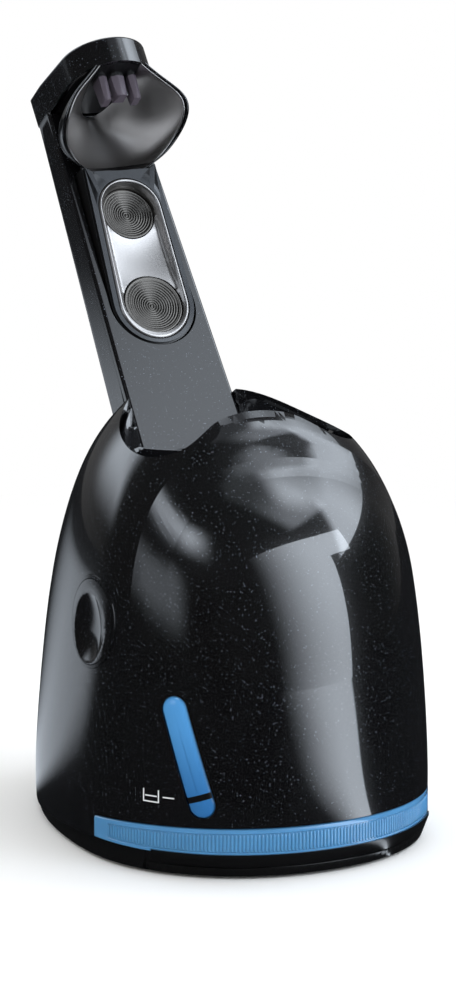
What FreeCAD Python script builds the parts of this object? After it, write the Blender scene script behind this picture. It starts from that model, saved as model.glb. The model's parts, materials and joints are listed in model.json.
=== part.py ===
import FreeCAD, Part
import math
import os

from FreeCAD import Placement, Rotation, Vector

# Shaver cleaning station, in millimetres, +Z up, front towards -Y.
# It is laid out about the middle of the rounded front of its base. Before the parts are written they
# are moved along Y, so that the origin is under the middle of the whole station, on the table.

# ---- driving dimensions -------------------------------------------------------------------------

WALL = 2.2                 # moulded outer wall
GAP = 0.3                  # air between pieces that move past each other
SEAT_GAP = 0.15            # air between pieces that are seated on each other
FIT = 0.06                 # radial clearance of a running fit

# Outer form of the housing: height, half width, front, rear, and where it is widest.
HOUSING_FORM = (
    (3.0, 66.0, -64.8, 109.5, 0.0),
    (22.0, 66.2, -66.6, 109.2, 0.0),
    (45.0, 65.0, -67.0, 106.6, 0.0),
    (75.0, 62.9, -65.0, 100.8, 0.0),
    (105.0, 59.4, -57.0, 91.0, 0.0),
    (130.0, 51.6, -39.8, 82.0, 1.0),
    (146.0, 41.8, -22.5, 71.5, 6.0),
    (155.0, 31.5, -12.0, 63.5, 12.0),
    (162.0, 16.0, 3.0, 52.0, 20.0),
)
FORM_EXPONENT = 2.1        # 2 is an ellipse, more is squarer

# The front panel is a second form, a little lower and narrower near its top.
PANEL_DROP = (0.0, 0.0, 0.0, 0.0, 0.3, 1.6, 6.5, 11.0, 13.0)
PANEL_NARROWING = (0.0, 0.0, 0.0, 0.5, 1.6, 2.2, 2.6, 2.6, 2.6)
OUTER_ARCH_Y = -20.3       # where the outer arch line crosses the housing, at the pivot's height
INNER_ARCH_Y = -31.3       # where the front panel starts
ARCH_TILT = 7.0            # both arch lines lean back by this angle
ARCH_PIVOT_Z = 120.0
ARCH_BULGE = (1.0, 1.0, 1.0, 0.8, 0.35, 0.0, 0.0, 0.0, 0.0)

# How far the inside of the housing lies behind its outer form, level by level.
INSIDE_STEP = (1.0, 1.0, 1.0, 1.05, 1.2, 1.5, 2.0, 2.6, 2.6)

FOOT_HEIGHT = 1.2
FOOT_RADIUS = 6.0
FRONT_FOOT = (42.0, -34.0)
REAR_FOOT = (44.0, 66.0)
BASE_TOP = 8.2             # top of the base's rim at the front
BASE_REAR_TOP = 3.8        # the rim runs down to this height at the back
BASE_FLOOR = 3.6           # top of the base's floor
BASE_INSET = 1.2           # base outline behind the housing's outline
STRIP_BOTTOM = 8.7
STRIP_TOP = 19.1           # top edge of the grip strip at the front
STRIP_TOP_MIDDLE = 18.4    # half way to its end
STRIP_TOP_END = 16.5       # at its end, from where the edge falls away
STRIP_FRONT_Y = -70.0
STRIP_MIDDLE_Y = -40.0
STRIP_END_Y = -11.0        # where the grip strip ends at each side
STRIP_PROUD = 0.3          # grip strip in front of the housing's outline
STRIP_THICKNESS = 3.4
BASE_LIP_HALF_WIDTH = 56.0
BASE_LIP_HEIGHT = 0.9
BASE_LIP_THICKNESS = 0.7
BASE_LIP_Y = -30.0         # the raised front of the base ends here at each side


# Cartridge
CARTRIDGE_SIDE = 47.0
CARTRIDGE_REAR = 36.0
CARTRIDGE_CLEARANCE = 3.3  # behind the inside of the housing
CARTRIDGE_TOP = 56.0
CARTRIDGE_WALL = 1.6
WEB_GAP = 0.05             # web of the cartridge behind the grip strip
WEB_LOW = 3.0              # the web's lower and upper face over the strip's bottom
WEB_HIGH = 6.0
LID_THICKNESS = 2.4
FILTER_SIZE = (60.0, 16.0, 30.0)
FILTER_Y = 17.0

# Guide posts, lift springs and latch
POST_X = 38.0
POST_Y = 55.0
POST_RADIUS = 3.0
POST_TOP = 92.0
SLEEVE_WALL = 2.8
SLEEVE_BOTTOM = 34.0
BOSS_TOP = 9.0
BOSS_RADIUS = 7.0
SPRING_WIRE = 0.6
SPRING_RADIUS = 4.6
SPRING_TURNS = 7
CHASSIS_BOTTOM = 66.0
CHASSIS_THICKNESS = 3.0

# Lift button on the left flank
LIFT_BUTTON_Y = -1.0
LIFT_BUTTON_Z = 85.0
LIFT_BUTTON_RADIUS = 15.2
LIFT_BUTTON_RING = 1.4
LIFT_BUTTON_THICKNESS = 4.0
LIFT_BUTTON_TRAVEL = 2.5
DIMPLE_RADIUS = 11.0
DIMPLE_DEPTH = 2.2
LATCH_PIVOT_X = -49.0
LATCH_PIVOT_Z = 97.0
LATCH_PIN_RADIUS = 1.5
LATCH_WIDTH = 8.0
EAR_RADIUS = 3.5           # ears that carry the latch lever's pin
EAR_FOOT = 12.0
LATCH_ARM = 3.0
LIFT_STEM_RADIUS = 2.5
LIFT_STEM_IN = 3.4         # the stem starts inside the button's body
HOOK_HEIGHT = 1.8
CATCH_X = -58.6
CATCH_THICKNESS = 2.4
HOOK_Z = 62.0

# Wash bowl
RIM_FRONT_Y = -13.0
RIM_HALF_WIDTH = 43.0
# opening for the shaver's head from the middle of its front to the tower's side: across, back
RIM_LINE = (
    (0.0, -8.4),
    (8.0, -8.6),
    (16.0, -9.4),
    (24.0, -12.0),
    (31.0, -12.8),
    (37.0, -10.4),
    (41.3, -5.5),
    (43.0, 2.0),
    (42.0, 12.0),
    (39.2, 22.0),
    (35.0, 31.0),
    (29.0, 40.0),
)
RIM_BEHIND = 2.0           # the opening's rear edge behind the tower's foot line
BOWL_WALL = 1.8
BOWL_BOTTOM = 101.0
BOWL_STEP = 0.9            # bowl's edge below the housing's skin
BOWL_FALL = 16.0           # over this length the bowl's edge falls away to the tower's foot
BOWL_FALL_TOP = 160.0
BOWL_CLEAR = 6.0           # nothing of the bowl stands this close before the tower's face
BOWL_REAR_TOP = 148.0
DRAIN_Y = 9.0
DRAIN_RADIUS = 5.0

# Tower: leans back about the line where its face meets the housing
TOWER_LEAN = 37.7
TOWER_FOOT_Y = 48.8
TOWER_FOOT_Z = 149.0
TOWER_HALF_FOOT = 21.8
TOWER_HALF_TOP = 18.7
TOWER_DEPTH_FOOT = 18.6
TOWER_DEPTH_TOP = 13.4
TOWER_BELOW = 16.0         # how far the tower reaches down inside the housing
TOWER_TOP = 130.0          # height at which the top width and depth are given
TOWER_WALL = 1.8
TOWER_EDGE = 1.2
TOWER_SPLIT = 3.0          # seam between the tower's face and its channel, behind the face
LEG_Y = (46.0, 62.0)       # the tower's legs on the chassis
LEG_FOOT = 9.0
LEG_FOOT_THICKNESS = 2.5

# Control panel, in the tower's own frame: height along it and height over its face
PANEL_TOP_S = 100.3
PANEL_TOP_HOLLOW = 2.0
PANEL_BOTTOM_S = 28.5
PANEL_HALF_TOP = 15.2
PANEL_HALF_BOTTOM = 16.8
PANEL_RISE_BOTTOM = -0.3
PANEL_TILT = 6.3
PANEL_SKIN = 1.2
PANEL_SIDE = 0.5           # panel skin's edge inside the carrier's edge
PANEL_SHADOW = 0.7         # dark gap round the panel where it enters the tower's face
PANEL_DEEP = 14.0
PANEL_BEHIND = 3.4         # the carrier's rear edge behind the tower's face
START_S = 83.3
START_RADIUS = 10.4
FAST_S = 44.8
FAST_RADIUS = 11.7
BUTTON_TILT = 2.9
BUTTON_RISE = 0.6          # face of the lower button over the tower's face
BEZEL_RIM = 2.6
BEZEL_WALL = 1.1
BEZEL_DEEP = 3.4           # below the buttons' faces
BEZEL_PROUD = 0.5          # over the panel
BEZEL_DISH = 2.2
BEZEL_DISH_RADIUS = 16.0
BUTTON_THICKNESS = 2.6
BUTTON_TRAVEL = 0.8
BUTTON_DISH = 1.5
RING_PITCH = 0.92
RING_DEPTH = 0.22
RING_CREST = 0.62          # where each ring ends and its groove starts, in pitches
RING_FOOT = 0.66
RINGS_FROM = 1.6
STEM_RADIUS = 2.0
BOARD_HALF = 11.0
BOARD_DEEP = 9.4           # panel board below the buttons' faces
SWITCH_HEIGHT = 3.0
SWITCH_PLUNGER = 1.0

# Cap, hood and plug, in the tower's own frame
CAP_BOTTOM_S = 131.0
CAP_TOP_S = 142.0
CAP_REAR_TOP_S = 143.9
CAP_NOSE = 35.0            # reach of the cap's nose over the tower's face
CAP_NOSE_RADIUS = 17.0
CAP_HALF = 19.1
CAP_WALL = 1.8
SKIRT_SIDE_S = 116.5
SKIRT_REAR_S = 124.0
HOOD_WALL = 0.9
HOOD_SLIT = 0.5            # dark slit between the hood's shell and its bright liner
HOOD_STEP = 0.6            # liner's edge behind the shell's edge
HOOD_CENTRE = 25.0         # centre of the round sections over the tower's face
# along the tower, half width inside, back over the tower's face
HOOD_SECTIONS = (
    (99.6, 14.5, 3.2),
    (103.0, 19.5, 0.2),
    (107.0, 22.6, -2.6),
    (112.5, 23.6, -4.6),
    (117.5, 21.8, -5.0),
    (122.0, 18.2, -5.0),
    (126.5, 13.2, -5.0),
    (131.5, 7.8, -5.0),
)
# mouth line seen from the side: along the tower, height over the tower's face
HOOD_MOUTH = (
    (99.0, 3.8),
    (101.4, 5.2),
    (104.0, 8.6),
    (108.4, 15.2),
    (112.8, 25.0),
    (121.0, 30.2),
    (131.6, 32.6),
)
CAP_EDGE = 1.2
CAP_CORNER = 3.0           # bevel at the cap's rear corners
PLUG_RISE = 27.0
PLUG_BOTTOM_S = 121.0
PLUG_PITCH = 6.1
PLUG_CENTRE_WIDTH = 5.6
PLUG_SIDE_WIDTH = 3.4
PLUG_DEPTH = 7.0

# Level window on the front left
WINDOW_ANGLE = 44.0        # round the housing, from the front to the left
WINDOW_HALF_WIDTH = 4.65
WINDOW_LENGTH = 44.4
WINDOW_TILT = 17.5
WINDOW_Z = 44.0
LENS_THICKNESS = 2.0
LENS_PROUD = 0.5
MIN_MARK_BELOW = 13.6
MIN_MARK_HEIGHT = 2.2
PRINT = 0.12               # height of printed marks
SYMBOL_X = -14.0           # across and up from the window's middle
SYMBOL_Z = -15.0
SYMBOL_WIDTH = 6.4
SYMBOL_HEIGHT = 4.6
SYMBOL_STROKE = 0.42
SYMBOL_DASH = 4.4

# Motor, pump and fan on one upright shaft behind the tower's foot
SHAFT_Y = 67.0
SHAFT_RADIUS = 1.5
PUMP_RADIUS = 14.0
PUMP_HEIGHT = 13.0
IMPELLER_RADIUS = 11.0
MOTOR_RADIUS = 11.5
MOTOR_HEIGHT = 25.0
FAN_RADIUS = 11.0
FAN_HEIGHT = 6.0
FAN_HOUSING_RADIUS = 13.0
BLADES = 8
PART_WALL = 1.5

DIP_X = 22.0
DIP_Y = 22.0
DIP_RADIUS = 2.5
DIP_BOTTOM = 14.0
HOSE_BORE = 2.5
NIPPLE_X = 7.0
NIPPLE_Y = 49.0
NIPPLE_LENGTH = 5.0
FEED_Y = 41.0              # end of the bowl's feed nozzle
FEED_Z = 114.0
NOZZLE_Y = 24.5            # face of the nozzle's head inside the bowl

BOARD_SIZE = (76.0, 30.0, 1.6)
BOARD_SCREW_INSET = 3.0    # screws from the board's edges
CONNECTOR_WIDTH = 6.0
BOARD_Y = -32.0
BOARD_STAND = 6.0
SOCKET_Z = 34.0
SOCKET_WALL = 1.5
SOCKET_PIN_RADIUS = 1.0
SOCKET_PIN_X = 3.0
SOCKET_SIZE = (16.0, 12.0, 9.0)
LEAD_RADIUS = 1.4
MAINS_HOLE_X = 26.0
MAINS_HOLE_Y = 84.0
REAR_SPLIT_Y = 74.0
SCREW_RADIUS = 1.5
SCREW_HEAD = 2.8

LEAD_X = BOARD_SIZE[0] / 2 - BOARD_SCREW_INSET - SCREW_HEAD - SEAT_GAP - CONNECTOR_WIDTH / 2
LEVELS = range(len(HOUSING_FORM))
CHASSIS_TOP = CHASSIS_BOTTOM + CHASSIS_THICKNESS
SLEEVE_RADIUS = POST_RADIUS + FIT + SLEEVE_WALL
PUMP_TOP = CHASSIS_TOP + PUMP_HEIGHT
MOTOR_BOTTOM = PUMP_TOP + PART_WALL
MOTOR_TOP = MOTOR_BOTTOM + MOTOR_HEIGHT
FAN_BOTTOM = MOTOR_TOP + 2 * PART_WALL
HOOD_WALLS = 2 * HOOD_WALL + HOOD_SLIT
STEM_END = BOARD_DEEP - SWITCH_HEIGHT - SWITCH_PLUNGER - BUTTON_TRAVEL - SEAT_GAP
FAR = 400.0                # longer than anything here, for cutting tools

parts = {}


# ---- small helpers ------------------------------------------------------------------------------

def box(x0, x1, y0, y1, z0, z1):
    return Part.makeBox(x1 - x0, y1 - y0, z1 - z0, Vector(x0, y0, z0))


def cylinder(radius, height, base, axis=Vector(0, 0, 1)):
    return Part.makeCylinder(radius, height, base, axis)


def tube(outer, inner, height, base, axis=Vector(0, 0, 1)):
    return cylinder(outer, height, base, axis).cut(cylinder(inner, height, base, axis))


def fuse(*shapes):
    return shapes[0].multiFuse(list(shapes[1:])).removeSplitter()


def prism(points, vector):
    face = Part.Face(Part.makePolygon([Vector(*p) for p in points] + [Vector(*points[0])]))
    return face.extrude(Vector(*vector))


def one_solid(shape):
    solids = sorted(shape.Solids, key=lambda s: s.Volume)
    return solids[-1]


def form_section(z, half, front, rear, widest):
    """Closed curve round the housing at one height, squarer than an ellipse."""
    points = []
    count = 28
    for i in range(count):
        angle = math.pi / 2 + 2 * math.pi * i / count
        c, s = math.cos(angle), math.sin(angle)
        reach = rear - widest if s > 0 else widest - front
        x = half * math.copysign(abs(c) ** (2 / FORM_EXPONENT), c)
        y = widest + reach * math.copysign(abs(s) ** (2 / FORM_EXPONENT), s)
        points.append(Vector(x, y, z))
    curve = Part.BSplineCurve()
    curve.interpolate(points, PeriodicFlag=True)
    return Part.Wire([curve.toShape()])


def form_solid(rows):
    return Part.makeLoft([form_section(*row) for row in rows], True, False)


def inset_rows(step, drop=1.0, top=None):
    """The form's rows moved inwards by step, times each level's own factor."""
    rows = []
    for i in LEVELS:
        z, half, front, rear, widest = HOUSING_FORM[i]
        d = step * INSIDE_STEP[i]
        half = half - PANEL_NARROWING[i] * drop - d
        rows.append((z, half, front + PANEL_DROP[i] * drop + d, rear - d, widest))
    if top is not None:
        rows = rows[:top]
    return rows


def form_at(z, inset=0.0):
    """Half width, front and rear of the outer form at a height, by straight interpolation."""
    rows = HOUSING_FORM
    for low, high in zip(rows[:-1], rows[1:]):
        if z <= high[0]:
            break
    f = (z - low[0]) / (high[0] - low[0])
    half, front, rear = [low[k] + f * (high[k] - low[k]) for k in (1, 2, 3)]
    return half - inset, front + inset, rear - inset


def tower_frame(shape):
    """From the tower's own frame (x, back, along) to the station's."""
    moved = shape.copy()
    lean = Rotation(Vector(1, 0, 0), -TOWER_LEAN)
    moved.Placement = Placement(Vector(0, TOWER_FOOT_Y, TOWER_FOOT_Z), lean).multiply(moved.Placement)
    return moved


def tower_half(s):
    return TOWER_HALF_FOOT + (TOWER_HALF_TOP - TOWER_HALF_FOOT) * s / TOWER_TOP


def tower_depth(s):
    return TOWER_DEPTH_FOOT + (TOWER_DEPTH_TOP - TOWER_DEPTH_FOOT) * s / TOWER_TOP


def tower_section(s, inset):
    """Upright tower's outline at height s: flat face, rounded long edges."""
    half = tower_half(s) - inset
    back = tower_depth(s) - inset
    front = inset
    r = max(TOWER_EDGE - inset, 0.3)
    rear_r = max(4.0 - inset, 0.6)
    return rounded_outline(half, front, back, r, rear_r, s)


def rounded_outline(half, front, back, r_front, r_back, z):
    """Outline with two small front corners and two larger back corners."""
    k = 1 - math.sqrt(0.5)
    a = Vector(-half, front + r_front, z)
    b = Vector(-half + r_front, front, z)
    c = Vector(half - r_front, front, z)
    d = Vector(half, front + r_front, z)
    e = Vector(half, back - r_back, z)
    f = Vector(half - r_back, back, z)
    g = Vector(-half + r_back, back, z)
    h = Vector(-half, back - r_back, z)
    edges = [
        Part.Arc(a, Vector(-half + k * r_front, front + k * r_front, z), b).toShape(),
        Part.makeLine(b, c),
        Part.Arc(c, Vector(half - k * r_front, front + k * r_front, z), d).toShape(),
        Part.makeLine(d, e),
        Part.Arc(e, Vector(half - k * r_back, back - k * r_back, z), f).toShape(),
        Part.makeLine(f, g),
        Part.Arc(g, Vector(-half + k * r_back, back - k * r_back, z), h).toShape(),
        Part.makeLine(h, a),
    ]
    return Part.Wire(edges)


def tower_solid(inset, low, high):
    return Part.makeLoft([tower_section(low, inset), tower_section(high, inset)], True, True)


# ---- outer form ---------------------------------------------------------------------------------

def outer_form():
    """Rear form, band between the two arches and front panel, joined face to face."""
    rear = form_solid(HOUSING_FORM)
    panel_rows = []
    middle_rows = []
    for i in LEVELS:
        z, half, front, back, widest = HOUSING_FORM[i]
        narrow, drop, bulge = PANEL_NARROWING[i], PANEL_DROP[i], ARCH_BULGE[i]
        panel_rows.append((z, half - narrow, front + drop, back, widest))
        middle_rows.append((z, half - narrow / 2, front + drop / 2 + (1 - bulge) * 0.6, back, widest))
    panel = form_solid(panel_rows)
    middle = form_solid(middle_rows)
    for form in (rear, panel, middle):
        form.rotate(Vector(0, 0, ARCH_PIVOT_Z), Vector(1, 0, 0), ARCH_TILT)
    middle_y = (OUTER_ARCH_Y + INNER_ARCH_Y) / 2
    outer_wire = rear.slice(Vector(0, 1, 0), OUTER_ARCH_Y)[0]
    middle_wire = middle.slice(Vector(0, 1, 0), middle_y)[0]
    inner_wire = panel.slice(Vector(0, 1, 0), INNER_ARCH_Y)[0]
    band = Part.makeLoft([outer_wire, middle_wire, inner_wire], True, False)
    behind = rear.common(box(-FAR, FAR, OUTER_ARCH_Y, FAR, -FAR, FAR))
    ahead = panel.common(box(-FAR, FAR, -FAR, INNER_ARCH_Y, -FAR, FAR))
    form = one_solid(fuse(behind, band, ahead))
    form.rotate(Vector(0, 0, ARCH_PIVOT_Z), Vector(1, 0, 0), -ARCH_TILT)
    return form


def below_edge(shift):
    """Everything under the housing's lower edge, moved up or down by shift."""
    rise = GAP + shift
    front = Vector(-FAR, STRIP_FRONT_Y, STRIP_TOP + rise)
    middle = Vector(-FAR, STRIP_MIDDLE_Y, STRIP_TOP_MIDDLE + rise)
    end = Vector(-FAR, STRIP_END_Y, STRIP_TOP_END + rise)
    corners = [
        end,
        Vector(-FAR, STRIP_END_Y, BASE_TOP + rise),
        Vector(-FAR, POST_Y, BASE_REAR_TOP + rise),
        Vector(-FAR, FAR, BASE_REAR_TOP + rise),
        Vector(-FAR, FAR, -FAR),
        Vector(-FAR, -FAR, -FAR),
        Vector(-FAR, -FAR, STRIP_TOP + rise),
        front,
    ]
    edges = [Part.Arc(front, middle, end).toShape()]
    edges += [Part.makeLine(a, b) for a, b in zip(corners[:-1], corners[1:])]
    return Part.Face(Part.Wire(edges)).extrude(Vector(2 * FAR, 0, 0))


def rim_outline(z, inset=0.0):
    """Opening for the shaver's head, seen from above."""
    line = list(RIM_LINE) + [(TOWER_HALF_FOOT, TOWER_FOOT_Y + RIM_BEHIND)]
    side = [Vector(0, line[0][1] + inset, z)]
    for before, here, after in zip(line[:-2], line[1:-1], line[2:]):
        along = Vector(after[0] - before[0], after[1] - before[1], 0).normalize()
        side.append(Vector(here[0] - along.y * inset, here[1] + along.x * inset, z))
    side.append(Vector(line[-1][0] - inset, line[-1][1], z))
    other = [Vector(-p.x, p.y, p.z) for p in reversed(side[1:])]
    curve = Part.BSplineCurve()
    curve.interpolate(other + side)
    return Part.Wire([curve.toShape(), Part.makeLine(side[-1], other[0])])


def bowl_solid(inset, bottom):
    """Inside of the bowl: the rim's outline above, a small oval floor below."""
    rows = []
    top = rim_outline(TOWER_FOOT_Z + 25.0, inset)
    rows.append(top)
    rows.append(rim_outline(TOWER_FOOT_Z - 4.0, inset))
    upper = Part.makeLoft(rows, True, True)
    ends = [rim_outline(bottom - 5.0, inset), rim_outline(TOWER_FOOT_Z - 4.0, inset)]
    below = Part.makeLoft(ends, True, True)
    low = []
    for z, w, f, r in ((TOWER_FOOT_Z - 4.0, RIM_HALF_WIDTH, RIM_FRONT_Y, 50.0),
                       (130.0, 38.0, -11.0, 42.0), (114.0, 28.0, -7.0, 32.0), (bottom, 20.0, -4.0, 22.0)):
        low.append(form_section(z, w - inset, f + inset, r - inset, (f + r) / 2))
    return one_solid(fuse(upper, Part.makeLoft(low, True, False).common(below)))


# ---- base and cartridge -------------------------------------------------------------------------

def base_rows(inset, low, high):
    rows = []
    for z in (low, high):
        half, front, rear = form_at(max(z, HOUSING_FORM[0][0]), BASE_INSET + inset)
        rows.append((z, half, front, rear, 0.0))
    return rows


def base_plate():
    body = form_solid(base_rows(0.0, FOOT_HEIGHT, BASE_TOP))
    tray = form_solid(base_rows(WALL, BASE_FLOOR, BASE_TOP + 5.0))
    proud = BASE_INSET + STRIP_PROUD + SEAT_GAP
    foot = base_rows(0.0, FOOT_HEIGHT, BASE_TOP)[0]
    edge = base_rows(-proud - BASE_LIP_THICKNESS, BASE_TOP, BASE_TOP)[0]
    flare = Part.makeLoft([form_section(*foot), form_section(*edge)], True, True)
    lip = form_solid(base_rows(-proud - BASE_LIP_THICKNESS, BASE_TOP, STRIP_BOTTOM + BASE_LIP_HEIGHT))
    lip = lip.cut(form_solid(base_rows(-proud, STRIP_BOTTOM - SEAT_GAP, STRIP_BOTTOM + BASE_LIP_HEIGHT + 1.0)))
    lip = fuse(flare, lip).cut(form_solid(base_rows(WALL / 2, FOOT_HEIGHT - 1.0, STRIP_BOTTOM + 1.0)))
    lip = lip.common(box(-BASE_LIP_HALF_WIDTH, BASE_LIP_HALF_WIDTH, -FAR, BASE_LIP_Y, -FAR, FAR))
    body = body.cut(tray)
    body = body.common(below_edge(-GAP))
    groove_z = FOOT_HEIGHT + 0.45 * (BASE_TOP - FOOT_HEIGHT)
    ring = form_solid(base_rows(-4.0, groove_z, groove_z + 0.5))
    ring = ring.cut(form_solid(base_rows(-0.2, groove_z - 1.0, groove_z + 1.5)))
    ring = ring.common(box(-FAR, FAR, -FAR, BASE_LIP_Y - 2.0, -FAR, FAR))
    pieces = [body]
    for x in (-POST_X, POST_X):
        pieces.append(cylinder(BOSS_RADIUS, BOSS_TOP - FOOT_HEIGHT - 1.0, Vector(x, POST_Y, FOOT_HEIGHT + 1.0)))
    pieces.append(lip)
    body = fuse(*pieces).cut(ring)
    for x in (-POST_X, POST_X):
        body = body.cut(cylinder(POST_RADIUS, FAR, Vector(x, POST_Y, BASE_FLOOR - 0.6)))
    for x, y in catch_screws():
        body = body.cut(cylinder(SCREW_RADIUS, FAR, Vector(x, y, -1.0)))
        body = body.cut(cylinder(SCREW_HEAD, 1.4, Vector(x, y, FOOT_HEIGHT - 0.4)))
    return one_solid(body)


def catch_screws():
    return [(CATCH_X + CATCH_THICKNESS + 3.5, LIFT_BUTTON_Y + dy) for dy in (-9.0, 9.0)]


def strip_outline(z, inset):
    half, front, rear = form_at(z, inset - STRIP_PROUD)
    return z, half, front, rear, 0.0


def cartridge_grip():
    outer = form_solid([strip_outline(STRIP_BOTTOM, 0.0), strip_outline(STRIP_TOP, 0.0)])
    outer = outer.common(below_edge(-GAP))
    inner = form_solid([strip_outline(STRIP_BOTTOM - 1.0, STRIP_THICKNESS),
                        strip_outline(STRIP_TOP + 1.0, STRIP_THICKNESS)])
    front = box(-FAR, FAR, -FAR, STRIP_END_Y - GAP, -FAR, FAR)
    return one_solid(outer.cut(inner).common(front))


def cartridge_outline(inset):
    """Front follows the housing, the sides and the rear are flat."""
    half, front, rear = form_at(CARTRIDGE_TOP, WALL * 1.0 + CARTRIDGE_CLEARANCE + inset)
    return half, front


def cartridge_body(inset, low, high):
    half, front = cartridge_outline(inset)
    body = form_solid([(low, half, front, -front + 40.0, 0.0), (high, half, front, -front + 40.0, 0.0)])
    side = CARTRIDGE_SIDE - inset
    return body.common(box(-side, side, -FAR, CARTRIDGE_REAR - inset, -FAR, FAR))


def cartridge_tub():
    low = BASE_FLOOR + SEAT_GAP
    lid_bottom = CARTRIDGE_TOP - LID_THICKNESS
    body = cartridge_body(0.0, low, lid_bottom)
    body = body.cut(cartridge_body(CARTRIDGE_WALL, low + CARTRIDGE_WALL, lid_bottom + 1.0))
    # the web that carries the grip strip
    behind = STRIP_THICKNESS + WEB_GAP
    web = form_solid([strip_outline(STRIP_BOTTOM + z, behind) for z in (WEB_LOW, WEB_HIGH)])
    web = web.common(box(-FAR, FAR, -FAR, STRIP_END_Y - GAP, -FAR, FAR))
    web = web.cut(cartridge_body(CARTRIDGE_WALL / 2, -FAR / 2, FAR / 2))
    return one_solid(fuse(body, web))


def cartridge_lid():
    low = CARTRIDGE_TOP - LID_THICKNESS
    lid = cartridge_body(0.0, low, CARTRIDGE_TOP)
    inner = cartridge_body(CARTRIDGE_WALL + SEAT_GAP, low - 3.0, low)
    inner = inner.cut(cartridge_body(2 * CARTRIDGE_WALL + SEAT_GAP, low - 4.0, low + 1.0))
    lid = fuse(lid, inner)
    lid = lid.cut(cylinder(DRAIN_RADIUS + 3.0, FAR, Vector(0, DRAIN_Y, 0)))
    return one_solid(lid.cut(cylinder(DIP_RADIUS + 3.0, FAR, Vector(DIP_X, DIP_Y, 0))))


def cartridge_seals():
    """Soft rings in the lid's two ports."""
    low = CARTRIDGE_TOP - LID_THICKNESS
    rings = []
    for x, y, hole, clear in ((0.0, DRAIN_Y, DRAIN_RADIUS + 3.0, DRAIN_RADIUS + 1.2),
                              (DIP_X, DIP_Y, DIP_RADIUS + 3.0, DIP_RADIUS + GAP)):
        ring = tube(hole, clear, LID_THICKNESS, Vector(x, y, low))
        collar = tube(hole + 1.2, clear, 1.0, Vector(x, y, CARTRIDGE_TOP))
        rings.append(fuse(ring, collar))
    return Part.makeCompound(rings)


def cartridge_filter():
    w, d, h = FILTER_SIZE
    low = BASE_FLOOR + SEAT_GAP + CARTRIDGE_WALL
    body = box(-w / 2, w / 2, FILTER_Y - d / 2, FILTER_Y + d / 2, low, low + h)
    return one_solid(body.cut(cylinder(DIP_RADIUS + 4.0, FAR, Vector(DIP_X, DIP_Y, 0))))


def rubber_feet():
    places = [(sx * x, y) for x, y in (FRONT_FOOT, REAR_FOOT) for sx in (-1, 1)]
    return Part.makeCompound([cylinder(FOOT_RADIUS, FOOT_HEIGHT, Vector(x, y, 0)) for x, y in places])


def guide_posts():
    posts = []
    low = BASE_FLOOR - 0.6
    for x in (-POST_X, POST_X):
        post = cylinder(POST_RADIUS, POST_TOP - low, Vector(x, POST_Y, low))
        top = [e for e in post.Edges if abs(e.BoundBox.ZMin - POST_TOP) < 0.01 and e.Closed]
        posts.append(post.makeChamfer(0.8, top))
    return Part.makeCompound(posts)


def lift_springs():
    low, high = BOSS_TOP + SPRING_WIRE, SLEEVE_BOTTOM - SPRING_WIRE - SEAT_GAP
    springs = []
    for x in (-POST_X, POST_X):
        springs.append(coil(SPRING_RADIUS, SPRING_WIRE, low, high - low, SPRING_TURNS, Vector(x, POST_Y, 0)))
    return Part.makeCompound(springs)


def coil(radius, wire, low, length, turns, centre):
    helix = Part.makeHelix(length / turns, length, radius)
    section = Part.Wire([Part.makeCircle(wire, Vector(radius, 0, 0), Vector(0, 1, 0))])
    spring = Part.Wire(helix.Edges).makePipeShell([section], True, True)
    spring.translate(centre + Vector(0, 0, low))
    return spring


def latch_catch():
    """Upright leaf on the base, with a ledge that the latch hook reaches under."""
    y0, y1 = LIFT_BUTTON_Y - LATCH_WIDTH / 2, LIFT_BUTTON_Y + LATCH_WIDTH / 2
    leaf = box(CATCH_X, CATCH_X + CATCH_THICKNESS, y0, y1, BASE_FLOOR, HOOK_Z + 4.0)
    foot = box(CATCH_X, CATCH_X + CATCH_THICKNESS + 7.0, y0 - 9.0, y1 + 9.0, BASE_FLOOR, BASE_FLOOR + 2.0)
    ledge_x = CATCH_X + CATCH_THICKNESS
    ledge = prism([(ledge_x, y0, HOOK_Z + 0.4), (ledge_x + 2.0, y0, HOOK_Z + 0.4), (ledge_x, y0, HOOK_Z + 4.0)],
                  (0, LATCH_WIDTH, 0))
    catch = fuse(leaf, foot, ledge)
    for x, y in catch_screws():
        catch = catch.cut(cylinder(SCREW_RADIUS, FAR, Vector(x, y, 0)))
    return one_solid(catch)


def base_screws():
    screws = []
    for x, y in catch_screws():
        head = cylinder(SCREW_HEAD - SEAT_GAP, 1.0, Vector(x, y, FOOT_HEIGHT - 0.2))
        shank = cylinder(SCREW_RADIUS, 4.6, Vector(x, y, FOOT_HEIGHT + 0.4))
        screws.append(fuse(head, shank))
    return Part.makeCompound(screws)


# ---- housing ------------------------------------------------------------------------------------

def window_frame(shape):
    """From the window's own frame (across, outwards, up) to the station's."""
    half, front, rear = form_at(WINDOW_Z)
    a = math.radians(WINDOW_ANGLE)
    reach = 1 / math.sqrt((math.sin(a) / half) ** 2 + (math.cos(a) / front) ** 2)
    centre = Vector(-reach * math.sin(a), -reach * math.cos(a), WINDOW_Z)
    turn = Rotation(Vector(0, 0, 1), -WINDOW_ANGLE)
    moved = shape.copy()
    moved.Placement = Placement(centre, turn).multiply(moved.Placement)
    return moved


def window_pill(inset, near, far):
    """Upright pill across the wall, leaning; near and far are depths outwards."""
    r = WINDOW_HALF_WIDTH - inset
    half = WINDOW_LENGTH / 2 - WINDOW_HALF_WIDTH
    bar = box(-r, r, -far, -near, -half, half)
    ends = [cylinder(r, far - near, Vector(0, -far, z), Vector(0, 1, 0)) for z in (-half, half)]
    pill = fuse(bar, *ends)
    pill.rotate(Vector(0, 0, 0), Vector(0, 1, 0), -WINDOW_TILT)
    return window_frame(pill)


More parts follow.
